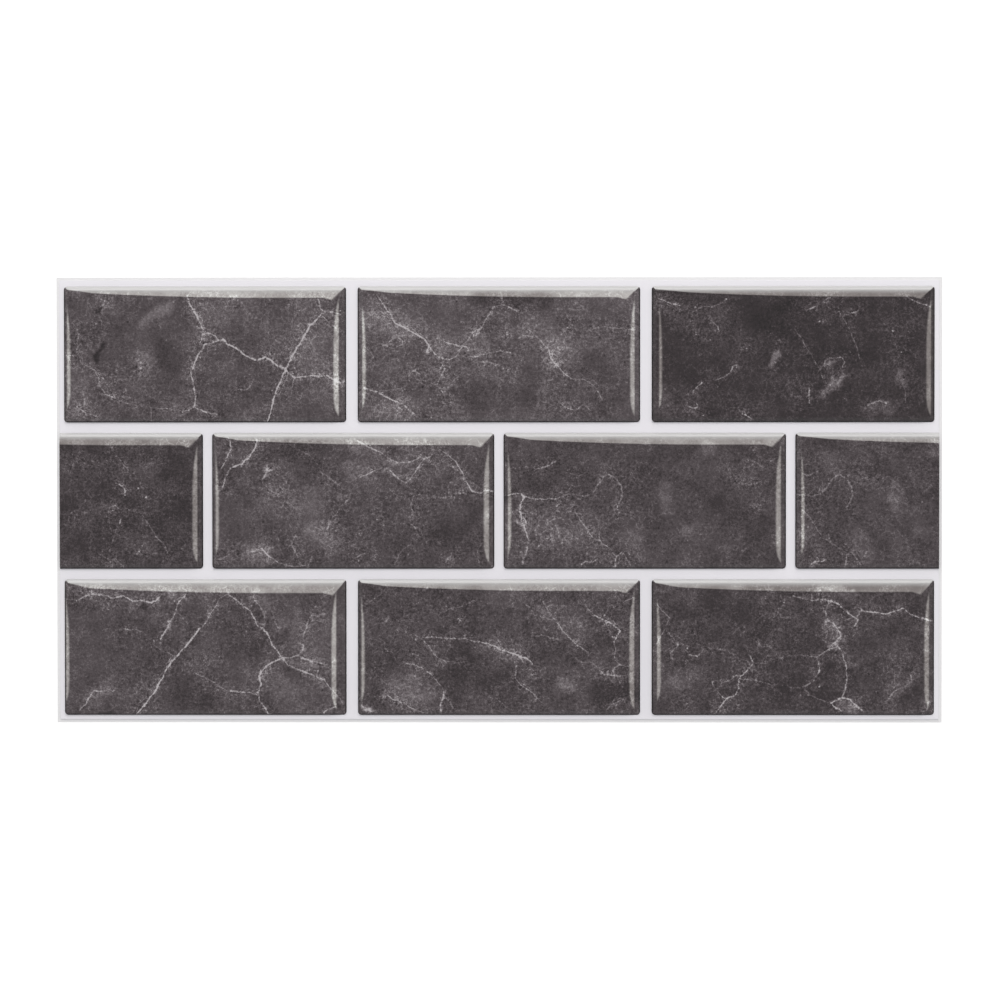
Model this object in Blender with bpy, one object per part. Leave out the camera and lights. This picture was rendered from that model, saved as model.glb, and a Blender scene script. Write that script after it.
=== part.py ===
"""Peel-and-stick backsplash sheet: ten moulded gel tiles in running bond on a grout-white film.

The film carries its adhesive on the back, and a release liner covers that until the sheet is stuck.
Metres, +Z up. The sheet lies face up, and the origin is the middle of the liner's underside.
"""
import math

import bmesh
import bpy
from mathutils import Vector

# Gel tile, seen from above
TILE_LENGTH = 0.0972
TILE_WIDTH = 0.0468
CORNER_RADIUS = 0.0013

# Gel tile, in section from its outline to its flat top
FOOT_HEIGHT = 0.00045
EDGE_ANGLE = math.radians(48)
SHOULDER_ANGLE = math.radians(8)
ROLL_WIDTH = 0.0016
MITRE_RADIUS = 0.00015

# The two planed facets of a tile, by their width on its flat top
TOP_FACET_LEFT_WIDTH = 0.0015
TOP_FACET_RIGHT_WIDTH = 0.0045
TOP_FACET_SLOPE = math.radians(6)
END_FACET_WIDTH = 0.0050
END_FACET_SLOPE = math.radians(4.5)

# Running bond: joints between tiles, and the film left outside them
OUTER_ROW_JOINT = 0.0040
MIDDLE_ROW_JOINT = 0.0032
ROW_JOINT = 0.00365
SIDE_MARGIN = 0.0016
TOP_MARGIN = 0.0020
BOTTOM_MARGIN = 0.0015

# Layers
FILM_THICKNESS = 0.0005
LINER_THICKNESS = 0.00012
LINER_REACH = 0.0011
BOND_GAP = 0.00002

# Fineness of the curves
CORNER_STEPS = 6
ROLL_STEPS = 6

# Worked out from the sizes above
FILM_LENGTH = 3 * TILE_LENGTH + 2 * OUTER_ROW_JOINT + 2 * SIDE_MARGIN
FILM_WIDTH = BOTTOM_MARGIN + 3 * TILE_WIDTH + 2 * ROW_JOINT + TOP_MARGIN
FILM_BASE = LINER_THICKNESS + BOND_GAP
TILE_BASE = FILM_BASE + FILM_THICKNESS + BOND_GAP
ROLL_RADIUS = ROLL_WIDTH / (math.sin(EDGE_ANGLE) - math.sin(SHOULDER_ANGLE))
TILE_HEIGHT = FOOT_HEIGHT + ROLL_RADIUS * (math.cos(SHOULDER_ANGLE) - math.cos(EDGE_ANGLE))


def clear_scene():
    for item in list(bpy.data.objects):
        bpy.data.objects.remove(item, do_unlink=True)


def finish(name, colour, roughness):
    """A plain plastic or paper finish"""
    material = bpy.data.materials.new(name)
    material.use_nodes = True
    shader = material.node_tree.nodes["Principled BSDF"]
    shader.inputs["Base Color"].default_value = (*colour, 1.0)
    shader.inputs["Roughness"].default_value = roughness
    shader.inputs["Metallic"].default_value = 0.0
    material.diffuse_color = (*colour, 1.0)
    return material


def place(name, bm, material, parent):
    """Turn a finished bmesh into a named object of the sheet"""
    bmesh.ops.recalc_face_normals(bm, faces=bm.faces)
    mesh = bpy.data.meshes.new(name)
    bm.to_mesh(mesh)
    bm.free()
    mesh.materials.append(material)
    mesh.shade_smooth()
    mesh.set_sharp_from_angle(angle=math.radians(30))
    piece = bpy.data.objects.new(name, mesh)
    piece.parent = parent
    bpy.context.scene.collection.objects.link(piece)
    return piece


def slab(length, width, base, thickness):
    """A flat sheet of material, cut square"""
    bm = bmesh.new()
    corners = ((1, 1), (-1, 1), (-1, -1), (1, -1))
    outline = [bm.verts.new((x * length / 2, y * width / 2, base)) for x, y in corners]
    underside = bm.faces.new(outline)
    risen = bmesh.ops.extrude_face_region(bm, geom=[underside])["geom"]
    for vertex in risen:
        if isinstance(vertex, bmesh.types.BMVert):
            vertex.co.z = base + thickness
    return bm


def tile_ring(bm, inset, height):
    """One level of a tile: its outline moved in, with the corner's radius used up on the way"""
    radius = max(CORNER_RADIUS - inset, MITRE_RADIUS)
    reach_x = TILE_LENGTH / 2 - inset - radius
    reach_y = TILE_WIDTH / 2 - inset - radius
    ring = []
    for quarter, (side_x, side_y) in enumerate(((1, 1), (-1, 1), (-1, -1), (1, -1))):
        for step in range(CORNER_STEPS + 1):
            turn = math.pi / 2 * (quarter + step / CORNER_STEPS)
            x = side_x * reach_x + radius * math.cos(turn)
            y = side_y * reach_y + radius * math.sin(turn)
            ring.append(bm.verts.new((x, y, height)))
    return ring


def tile_section():
    """Inset and height of each level: a short upright foot, then the rolled edge up to the flat top"""
    levels = [(0.0, 0.0)]
    for step in range(ROLL_STEPS + 1):
        slope = EDGE_ANGLE + (SHOULDER_ANGLE - EDGE_ANGLE) * step / ROLL_STEPS
        inset = ROLL_RADIUS * (math.sin(EDGE_ANGLE) - math.sin(slope))
        rise = ROLL_RADIUS * (math.cos(slope) - math.cos(EDGE_ANGLE))
        levels.append((inset, FOOT_HEIGHT + rise))
    return levels


def plane_off(bm, point, normal):
    """Cut away what lies beyond a plane, and close the cut with one flat face"""
    everything = bm.verts[:] + bm.edges[:] + bm.faces[:]
    cut = bmesh.ops.bisect_plane(bm, geom=everything, plane_co=point, plane_no=normal, clear_outer=True)
    rim = [item for item in cut["geom_cut"] if isinstance(item, bmesh.types.BMEdge)]
    bmesh.ops.edgeloop_fill(bm, edges=rim)


def gel_tile():
    """A whole tile, centred on the origin with its underside at height 0"""
    bm = bmesh.new()
    rings = [tile_ring(bm, inset, height) for inset, height in tile_section()]
    for lower, upper in zip(rings, rings[1:]):
        for here in range(len(lower)):
            after = (here + 1) % len(lower)
            bm.faces.new((lower[here], lower[after], upper[after], upper[here]))
    bm.faces.new(reversed(rings[0]))
    bm.faces.new(rings[-1])

    left = Vector((-TILE_LENGTH / 2, TILE_WIDTH / 2 - TOP_FACET_LEFT_WIDTH, TILE_HEIGHT))
    right = Vector((TILE_LENGTH / 2, TILE_WIDTH / 2 - TOP_FACET_RIGHT_WIDTH, TILE_HEIGHT))
    along = (right - left).normalized()
    outward = Vector((-along.y, along.x, 0.0))
    tilt = outward * math.sin(TOP_FACET_SLOPE) + Vector((0, 0, math.cos(TOP_FACET_SLOPE)))
    plane_off(bm, left, tilt)

    end = Vector((TILE_LENGTH / 2 - END_FACET_WIDTH, 0.0, TILE_HEIGHT))
    plane_off(bm, end, Vector((math.sin(END_FACET_SLOPE), 0.0, math.cos(END_FACET_SLOPE))))
    return bm


def laid_tile(middle_x, middle_y):
    """A whole tile in its place on the film"""
    bm = gel_tile()
    bmesh.ops.translate(bm, verts=bm.verts, vec=(middle_x, middle_y, TILE_BASE))
    return bm


def trimmed_tile(middle_x, middle_y):
    """A tile of the middle row that the sheet's cut end trims flush with the film"""
    bm = laid_tile(middle_x, middle_y)
    side = math.copysign(1.0, middle_x)
    plane_off(bm, Vector((side * FILM_LENGTH / 2, 0, 0)), Vector((side, 0, 0)))
    return bm


def build_sheet():
    liner_finish = finish("release_liner_paper", (0.80, 0.80, 0.79), 0.6)
    film_finish = finish("grout_white_film", (0.76, 0.74, 0.79), 0.45)
    gel_finish = finish("charcoal_marble_gel", (0.085, 0.075, 0.078), 0.12)

    sheet = bpy.data.objects.new("backsplash_sheet", None)
    bpy.context.scene.collection.objects.link(sheet)

    liner_length = FILM_LENGTH + 2 * LINER_REACH
    liner_width = FILM_WIDTH + 2 * LINER_REACH
    place("release_liner", slab(liner_length, liner_width, 0.0, LINER_THICKNESS), liner_finish, sheet)
    place("backing_film", slab(FILM_LENGTH, FILM_WIDTH, FILM_BASE, FILM_THICKNESS), film_finish, sheet)

    row_pitch = TILE_WIDTH + ROW_JOINT
    bottom_row = -FILM_WIDTH / 2 + BOTTOM_MARGIN + TILE_WIDTH / 2
    outer_pitch = TILE_LENGTH + OUTER_ROW_JOINT
    for row, height in (("bottom", bottom_row), ("top", bottom_row + 2 * row_pitch)):
        for column, count in (("left", -1), ("middle", 0), ("right", 1)):
            place(f"gel_tile_{row}_{column}", laid_tile(count * outer_pitch, height), gel_finish, sheet)

    middle_row = bottom_row + row_pitch
    middle_pitch = TILE_LENGTH + MIDDLE_ROW_JOINT
    for column, side in (("left", -1), ("right", 1)):
        whole = laid_tile(side * middle_pitch / 2, middle_row)
        place(f"gel_tile_centre_{column}", whole, gel_finish, sheet)
        part_tile = trimmed_tile(side * middle_pitch * 3 / 2, middle_row)
        place(f"half_gel_tile_{column}", part_tile, gel_finish, sheet)


clear_scene()
build_sheet()
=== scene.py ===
# %% [markdown]
# # A peel-and-stick backsplash sheet
# Ten moulded gel tiles lie in running bond on a grout-white film, and a paper liner covers the
# glue on its back. The solid model is loaded first, as a fixed frame. Every piece made here takes
# its place and its outer sizes from that frame, so nothing has to be fitted afterwards.

import math
from itertools import accumulate

import bmesh
import bpy
from mathutils import Matrix, Vector


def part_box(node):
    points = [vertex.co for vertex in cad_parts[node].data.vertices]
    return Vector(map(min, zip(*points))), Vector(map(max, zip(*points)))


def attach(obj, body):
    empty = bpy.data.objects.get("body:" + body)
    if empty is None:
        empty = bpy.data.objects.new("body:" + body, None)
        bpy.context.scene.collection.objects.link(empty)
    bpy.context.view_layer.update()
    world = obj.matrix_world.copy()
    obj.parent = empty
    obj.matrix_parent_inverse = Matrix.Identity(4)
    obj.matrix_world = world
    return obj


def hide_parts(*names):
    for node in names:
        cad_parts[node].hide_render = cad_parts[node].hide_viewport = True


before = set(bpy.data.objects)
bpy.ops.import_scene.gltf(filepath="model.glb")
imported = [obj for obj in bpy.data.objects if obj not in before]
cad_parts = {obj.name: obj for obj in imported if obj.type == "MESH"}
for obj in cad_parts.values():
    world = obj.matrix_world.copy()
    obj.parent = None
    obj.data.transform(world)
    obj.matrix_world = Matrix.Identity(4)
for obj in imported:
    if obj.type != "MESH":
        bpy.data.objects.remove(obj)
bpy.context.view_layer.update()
print("nodes in the frame:", ", ".join(sorted(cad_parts)))

# %% [markdown]
# ## Sizes
# A whole tile's length, width and height are read from the frame. The section of its edge isn't in
# the frame's box, so it is named here as it is in the solid: an upright foot, then a roll that
# flattens from the edge angle to the shoulder angle. The two planed facets are named here as well.
# Their creases follow the real tile: the top one is curved and has a small tooth, where the
# solid's is straight.

# %% Measure a tile and name its section and facets
MM = 0.001
tile_low, tile_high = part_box("gel_tile_top_left")
TILE_LENGTH, TILE_WIDTH, TILE_HEIGHT = tile_high - tile_low

CORNER_RADIUS = 1.3 * MM
EDGE_ANGLE = math.radians(48)
SHOULDER_ANGLE = math.radians(8)
ROLL_WIDTH = 1.6 * MM
ROLL_RADIUS = ROLL_WIDTH / (math.sin(EDGE_ANGLE) - math.sin(SHOULDER_ANGLE))
FOOT_HEIGHT = TILE_HEIGHT - ROLL_RADIUS * (math.cos(SHOULDER_ANGLE) - math.cos(EDGE_ANGLE))

TOP_FACET_START = 1.7 * MM
TOP_FACET_WIDTH = 4.0 * MM
TOP_FACET_GROWTH = 72 * MM
TOP_FACET_TOOTH = 0.8 * MM
TOOTH_LENGTH = 2.8 * MM
TOP_FACET_LEAST = 0.1 * MM
TOP_FACET_SLOPE = math.radians(6)
END_FACET_WIDTH = 5.0 * MM
print(f"tile {TILE_LENGTH / MM:.1f} x {TILE_WIDTH / MM:.1f} x {TILE_HEIGHT / MM:.2f} mm")

# %% [markdown]
# ## Camera
# The sheet was photographed from almost straight above, from about one and a half metres, so a long
# lens a degree off the vertical repeats the view. The camera is placed by its distance and two small
# leans, and it looks at a point on the sheet. That way its rotation is worked out and not typed in.

# %% Place the camera
CAMERA_DISTANCE = 1.5
LEAN_UP = math.radians(1.38)
LEAN_RIGHT = math.radians(0.64)
CAMERA_ROLL = math.radians(-0.0286)
AIM = Vector((0.35 * MM, 0.0, 0.0))
LENS = 156.69
SENSOR_WIDTH = 36.0
FAR_CLIP = 30.0


def add_object(name, data):
    """A new object in the scene"""
    made = bpy.data.objects.new(name, data)
    bpy.context.scene.collection.objects.link(made)
    return made


def place_camera():
    """A long lens, looking down at the sheet"""
    away = Vector((math.sin(LEAN_RIGHT), math.sin(LEAN_UP), 0.0))
    away.z = math.sqrt(1 - away.length_squared)
    across = Vector((0, 1, 0)).cross(away).normalized()
    upward = away.cross(across)
    turn = Matrix((across, upward, away)).transposed().to_4x4()
    camera = add_object("camera", bpy.data.cameras.new("camera"))
    camera.data.lens = LENS
    camera.data.sensor_width = SENSOR_WIDTH
    camera.data.clip_end = FAR_CLIP
    roll = Matrix.Rotation(CAMERA_ROLL, 4, "Z")
    camera.matrix_world = Matrix.Translation(AIM + CAMERA_DISTANCE * away) @ turn @ roll
    bpy.context.scene.camera = camera
    return camera


camera = place_camera()
print("camera at", [round(value, 4) for value in camera.location])

# %% [markdown]
# ## Sums on sockets
# A shader and a geometry tree are both made of nodes, and most of those nodes are plain sums. Adding
# them one by one hides the idea, so one small class wraps a socket and lets Python's operators add
# the Math nodes. A second class adds every other kind of node in one way: its settings come first,
# because they decide which sockets it has, and the values or links of the sockets after them.

# %% A socket that can be used in sums
class Wire:
    """One output socket, which can be used like a number"""

    def __init__(self, board, socket):
        self.board = board
        self.socket = socket

    def maths(self, operation, *terms):
        return self.board.node("ShaderNodeMath", {"operation": operation}, terms)

    def __add__(self, other):
        return self.maths("ADD", self, other)

    def __sub__(self, other):
        return self.maths("SUBTRACT", self, other)

    def __rsub__(self, other):
        return self.maths("SUBTRACT", other, self)

    def __mul__(self, other):
        return self.maths("MULTIPLY", self, other)

    def __truediv__(self, other):
        return self.maths("DIVIDE", self, other)

    def __pow__(self, other):
        return self.maths("POWER", self, other)

    def __lt__(self, other):
        return self.maths("LESS_THAN", self, other)

    def __abs__(self):
        return self.maths("ABSOLUTE", self)

    __radd__ = __add__
    __rmul__ = __mul__

    def at_least(self, limit):
        return self.maths("MAXIMUM", self, limit)

    def at_most(self, limit):
        return self.maths("MINIMUM", self, limit)

    def root(self):
        return self.maths("SQRT", self)

    def sign(self):
        return self.maths("SIGN", self)

    def rise(self, start, end):
        """0 before start and 1 after end, smooth between them; start may be the larger"""
        settings = {"interpolation_type": "SMOOTHSTEP"}
        return self.board.node("ShaderNodeMapRange", settings, {0: self, 1: start, 2: end})

    def share(self, start, end):
        """As rise, but straight between start and end"""
        return self.board.node("ShaderNodeMapRange", None, {0: self, 1: start, 2: end})

    def parts(self):
        """The x, y and z of a vector"""
        names = ("X", "Y", "Z")
        return [self.board.node("ShaderNodeSeparateXYZ", None, (self,), name) for name in names]

    def along(self, operation, other):
        """A Vector Math node, for what is a vector or a colour"""
        settings = {"operation": operation}
        return self.board.node("ShaderNodeVectorMath", settings, (self, other), "Vector")

    def length(self):
        return self.board.node("ShaderNodeVectorMath", {"operation": "LENGTH"}, (self,), "Value")


# %% One way of adding a node
class Board:
    """A node tree that nodes are added to"""

    def __init__(self, tree):
        self.tree = tree

    def node(self, kind, settings=None, sockets=(), output=0):
        made = self.tree.nodes.new(kind)
        for name, value in (settings or {}).items():
            if name == "stops":
                self.set_stops(made.color_ramp, value)
            else:
                setattr(made, name, value)
        pairs = sockets.items() if isinstance(sockets, dict) else enumerate(sockets)
        for name, value in pairs:
            if isinstance(value, Wire):
                self.tree.links.new(value.socket, made.inputs[name])
            else:
                made.inputs[name].default_value = value
        return Wire(self, made.outputs[output]) if made.outputs else made

    @staticmethod
    def set_stops(ramp, stops):
        """Give a colour ramp its stops, each a place and a colour"""
        while len(ramp.elements) < len(stops):
            ramp.elements.new(1.0)
        for element, (place, colour) in zip(ramp.elements, stops):
            element.position = place
            element.color = (*colour, 1.0)

    def vector(self, x, y, z):
        return self.node("ShaderNodeCombineXYZ", None, (x, y, z))

    def noise(self, where, size, detail=2.0, roughness=0.5, output=0):
        """Noise whose features are about one size, in metres, across"""
        sockets = {"Vector": where, "Scale": 1 / size, "Detail": detail, "Roughness": roughness}
        return self.node("ShaderNodeTexNoise", None, sockets, output)

    def push(self, where, size, reach, detail, roughness=0.5):
        """A shift that follows noise, up to half the reach either way in each direction"""
        colour = self.noise(where, size, detail, roughness, output=1)
        return colour.along("SUBTRACT", (0.5, 0.5, 0.5)).along("MULTIPLY", reach)


# %% [markdown]
# ## The form of a gel tile
# The real tile is a drop of clear gel that was cast in a mould: an upright foot, a rolled edge, and
# a flat top with two planed facets. One facet widens along the top edge and ends in a small tooth,
# and the other one crosses the tile's right end. The height of every point follows from its place,
# so this is a rule and not a sculpture. Geometry Nodes fit it: a grid is stretched so that its rows
# and columns run along the shoulders and creases, then lifted by the rule, and its rim is drawn
# down to the film. All ten tiles use the same tree.

# %% How finely a tile is divided
ROLL_CELLS = 10
FACET_CELLS = 7
CELL = 0.5 * MM
WELD = 0.004 * MM

plateau_length = TILE_LENGTH - ROLL_WIDTH - END_FACET_WIDTH
plateau_width = TILE_WIDTH - ROLL_WIDTH - TOP_FACET_WIDTH
COLUMNS = (0, ROLL_CELLS, round(plateau_length / CELL), FACET_CELLS, ROLL_CELLS)
ROWS = (0, ROLL_CELLS, round(plateau_width / CELL), FACET_CELLS, ROLL_CELLS)
column_lines = list(accumulate(COLUMNS))
row_lines = list(accumulate(ROWS))
print("cells of a tile:", column_lines[-1], "by", row_lines[-1])

# %% [markdown]
# ### From a grid to the outline
# Each direction has four zones: a roll, the flat top, a facet and a roll. A cell number is turned
# into a distance zone by zone. The facet along the top edge is narrow at the left end, so the widths
# of its zones depend on how far along the tile the point is. At the corners a square is bent into a
# quarter disc, which keeps the cells four-sided.

# %% Stretch the grid and round its corners
def run_of(number, lines, widths):
    """The distance that a cell number stands for, when each zone has its own width"""
    zones = zip(lines, lines[1:], widths)
    return sum(number.share(start, end) * width for start, end, width in zones)


def facet_width(x, shift):
    """How far the top facet reaches into the tile, at a distance along it"""
    short = (1 - x / TOP_FACET_GROWTH).at_least(0.0)
    crease_end = TILE_LENGTH - END_FACET_WIDTH
    tooth = x.share(crease_end - TOOTH_LENGTH, crease_end)
    width = TOP_FACET_WIDTH - (TOP_FACET_WIDTH - TOP_FACET_START) * short**2.0
    width = width + TOP_FACET_TOOTH * tooth
    return (width + shift).at_least(ROLL_WIDTH + TOP_FACET_LEAST)


def rounded(x, y):
    """Bend the square corners into quarter discs; x and y are from the tile's middle"""
    flat_x = TILE_LENGTH / 2 - CORNER_RADIUS
    flat_y = TILE_WIDTH / 2 - CORNER_RADIUS
    past_x = (abs(x) - flat_x).at_least(0.0) / CORNER_RADIUS
    past_y = (abs(y) - flat_y).at_least(0.0) / CORNER_RADIUS
    bent_x = past_x * (1 - past_y**2.0 / 2).root()
    bent_y = past_y * (1 - past_x**2.0 / 2).root()
    round_x = x.sign() * (abs(x).at_most(flat_x) + bent_x * CORNER_RADIUS)
    round_y = y.sign() * (abs(y).at_most(flat_y) + bent_y * CORNER_RADIUS)
    return round_x, round_y


# %% [markdown]
# ### From the outline to the height
# The inset is the distance in from the nearest side. It sets how steep the roll is, and the sum of
# the steepness is the height. Two rolls meet at a corner in a mitre, as they do in the mould, and
# only the outline below them is rounded. The facets take height away past their creases and the
# larger cut wins, which gives the mitre between them. The end facet is as steep as makes that mitre
# run to the tile's corner. The rule also tells where light will gather under the top facet: that
# strip starts as a thin wedge at the left end and stops at the mitre.

# %% The height of a tile at a point
MITRE_SOFTNESS = 0.12 * MM
LEFT_MITRE_SLOPE = 0.9
WEDGE_START = 0.9 * MM
WEDGE_SLOPE = 0.13
WEDGE_GROWTH = 0.13 / MM
MITRE_BLUR = (-0.1 * MM, 0.12 * MM)
CREASE_BLUR = (0.0, 0.2 * MM)
WEDGE_BLUR = (-0.1 * MM, 0.15 * MM)


def inset_of(x, y):
    """Distance in from the nearest side; x and y are from the tile's middle"""
    from_end = TILE_LENGTH / 2 - abs(x)
    from_side = TILE_WIDTH / 2 - abs(y)
    return from_end.maths("SMOOTH_MIN", from_end, from_side, MITRE_SOFTNESS)


def height_of(x, y, inset, top_width, shift):
    """Height above the film, and how far the point is in the strip of painted light, from 0 to 1"""
    steepness = (math.sin(EDGE_ANGLE) - inset / ROLL_RADIUS).at_least(math.sin(SHOULDER_ANGLE))
    roll = ((1 - steepness**2.0).root() - math.cos(EDGE_ANGLE)) * ROLL_RADIUS + FOOT_HEIGHT
    past_top = (y - (TILE_WIDTH - top_width)).at_least(0.0)
    past_end = (x - (TILE_LENGTH - END_FACET_WIDTH)).at_least(0.0)
    top_cut = past_top.at_most(top_width - ROLL_WIDTH) * math.tan(TOP_FACET_SLOPE)
    lean = top_width / END_FACET_WIDTH
    end_cut = past_end.at_most(END_FACET_WIDTH - ROLL_WIDTH) * lean * math.tan(TOP_FACET_SLOPE)
    ahead = past_top - past_end * lean
    highlight_strip = ahead.rise(*MITRE_BLUR) * past_top.rise(*CREASE_BLUR)
    wedge = x * (shift * WEDGE_GROWTH + WEDGE_SLOPE) + WEDGE_START
    wedge = wedge.at_most(x * LEFT_MITRE_SLOPE) - (TILE_WIDTH - y)
    return roll - top_cut.at_least(end_cut), highlight_strip * wedge.rise(*WEDGE_BLUR)


# %% [markdown]
# ## Veins and clouds
# The marble on the sheet is printed, and its veins wander too freely for a texture alone. The main
# ones are drawn as routes, in millimetres from a tile's lower left corner, and the tree roughens
# each route with noise. Every point of the tile then remembers how far off the nearest vein is, in
# which direction, and how wide and bright that vein is. The clouds are done in the same way with
# short fat routes. The shader draws the line itself, so it stays crisp between the points.

# %% The nearest route, as seen from every point of a tile
def route_mesh(name, routes):
    """Wire mesh of routes, each (strength, half width in mm, points in mm)"""
    corners, edges, widths, strengths = [], [], [], []
    for strength, width, points in routes:
        first = len(corners)
        corners += [(x * MM, y * MM, 0.0) for x, y in points]
        edges += [(first + step, first + step + 1) for step in range(len(points) - 1)]
        widths += [width] * len(points)
        strengths += [strength] * len(points)
    mesh = bpy.data.meshes.new(name)
    mesh.from_pydata(corners, edges, [])
    mesh.attributes.new("width", "FLOAT", "POINT").data.foreach_set("value", widths)
    mesh.attributes.new("strength", "FLOAT", "POINT").data.foreach_set("value", strengths)
    return bpy.data.objects.new(name, mesh)


def roughened(board, routes, step, wander, tremble):
    """Routes cut into short steps and pushed about twice, each push (how far, size of the noise)"""
    curve = board.node("GeometryNodeMeshToCurve", None, {"Mesh": routes})
    sockets = {"Curve": curve, "Length": step}
    curve = board.node("GeometryNodeResampleCurve", {"mode": "LENGTH"}, sockets)
    here = board.node("GeometryNodeInputPosition")
    far, near = [board.push(here, size, (2 * reach, 2 * reach, 0.0), detail=1.0)
                 for reach, size in (wander, tremble)]
    offset = far.along("ADD", near)
    curve = board.node("GeometryNodeSetPosition", None, {"Geometry": curve, "Offset": offset})
    return board.node("GeometryNodeCurveToMesh", None, {"Curve": curve})


def nearest_route(board, routes, where):
    """Offset to the nearest route, and (distance, width, strength) there, lengths in mm"""
    near = board.node("GeometryNodeProximity", {"target_element": "EDGES"},
                      {0: routes, "Source Position": where}, "Position")
    offset = near.along("SUBTRACT", where).along("SCALE", (0, 0, 0))
    offset.socket.node.inputs["Scale"].default_value = 1 / MM
    distance = offset.length()
    sockets = {"Geometry": routes, "Sample Position": where}
    index = board.node("GeometryNodeSampleNearest", None, sockets)
    found = []
    for name in ("width", "strength"):
        value = board.node("GeometryNodeInputNamedAttribute", None, {"Name": name})
        sockets = {"Geometry": routes, "Value": value, "Index": index}
        found.append(board.node("GeometryNodeSampleIndex", None, sockets))
    return offset, board.vector(distance, *found)


# %% [markdown]
# ## The tile tree
# Here the parts above are joined up. What differs from tile to tile are the tree's named inputs:
# the corner that the tile is measured from, the box of the solid, its routes, its two side glows,
# how far its top crease is shifted, and its tone. A half tile is a whole one whose points stop at
# the sheet's cut end: they fall together there, and welding them leaves one clean edge.

# %% Name the inputs and the steps of the routes
TILE_INPUTS = (
    ("Corner", "Vector"),
    ("Low", "Vector"),
    ("High", "Vector"),
    ("Veins", "Object"),
    ("Clouds", "Object"),
    ("Left Glow", "Vector"),
    ("Right Glow", "Vector"),
    ("Facet Shift", "Float"),
    ("Tone", "Float"),
    ("Finish", "Material"),
)
VEIN_STEP = 0.25 * MM
VEIN_WANDER = (0.5 * MM, 4 * MM)
VEIN_TREMBLE = (0.35 * MM, 0.9 * MM)
CLOUD_STEP = 0.5 * MM
CLOUD_WANDER = (1.2 * MM, 8 * MM)
CLOUD_TREMBLE = (0.4 * MM, 2 * MM)
TEAR_SIZE = 5 * MM
TEAR_REACH = (7 * MM, 7 * MM, 0.0)


def store(board, mesh, name, value, kind="FLOAT_VECTOR", domain="POINT"):
    """Keep a value on the mesh under a name"""
    settings = {"data_type": kind, "domain": domain}
    return board.node("GeometryNodeStoreNamedAttribute", settings,
                      {"Geometry": mesh, "Name": name, "Value": value})


# %% [markdown]
# ### The grid and its creases
# The shoulders and the facets' creases run along lines of the grid, between two zones. Those lines
# are marked as sharp edges, so the shading breaks there and stays smooth everywhere else. A bevel
# or a subdivision would need many more faces for the same look.

# %% Divide a tile and mark its creases
ON_LINE = 0.1


def creased_grid(board):
    """Grid of cells one unit across, with the shoulders and creases marked as sharp"""
    columns, rows = column_lines[-1], row_lines[-1]
    sizes = (float(columns), float(rows), columns + 1, rows + 1)
    grid = board.node("GeometryNodeMeshGrid", None, sizes)
    x, y, _ = board.node("GeometryNodeInputPosition").parts()
    column, row = x + columns / 2, y + rows / 2
    sharp = 0.0
    for number, lines in ((column, column_lines), (row, row_lines)):
        for line in lines[1:-1]:
            sharp = (abs(number - line) < ON_LINE) + sharp
    return store(board, grid, "sharp_edge", sharp, "BOOLEAN", "EDGE"), column, row


# %% [markdown]
# ### From the grid to the tile
# The order matters. The grid is stretched while it is flat, and all that is drawn on the tile is
# measured then too, as on the real print. Only after that are the points lifted and welded, and the
# rim, where an edge has one face only, is drawn straight down to the film as the upright foot.

# %% Build the tile tree
ONE_FACE_ONLY = 1.5


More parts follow.
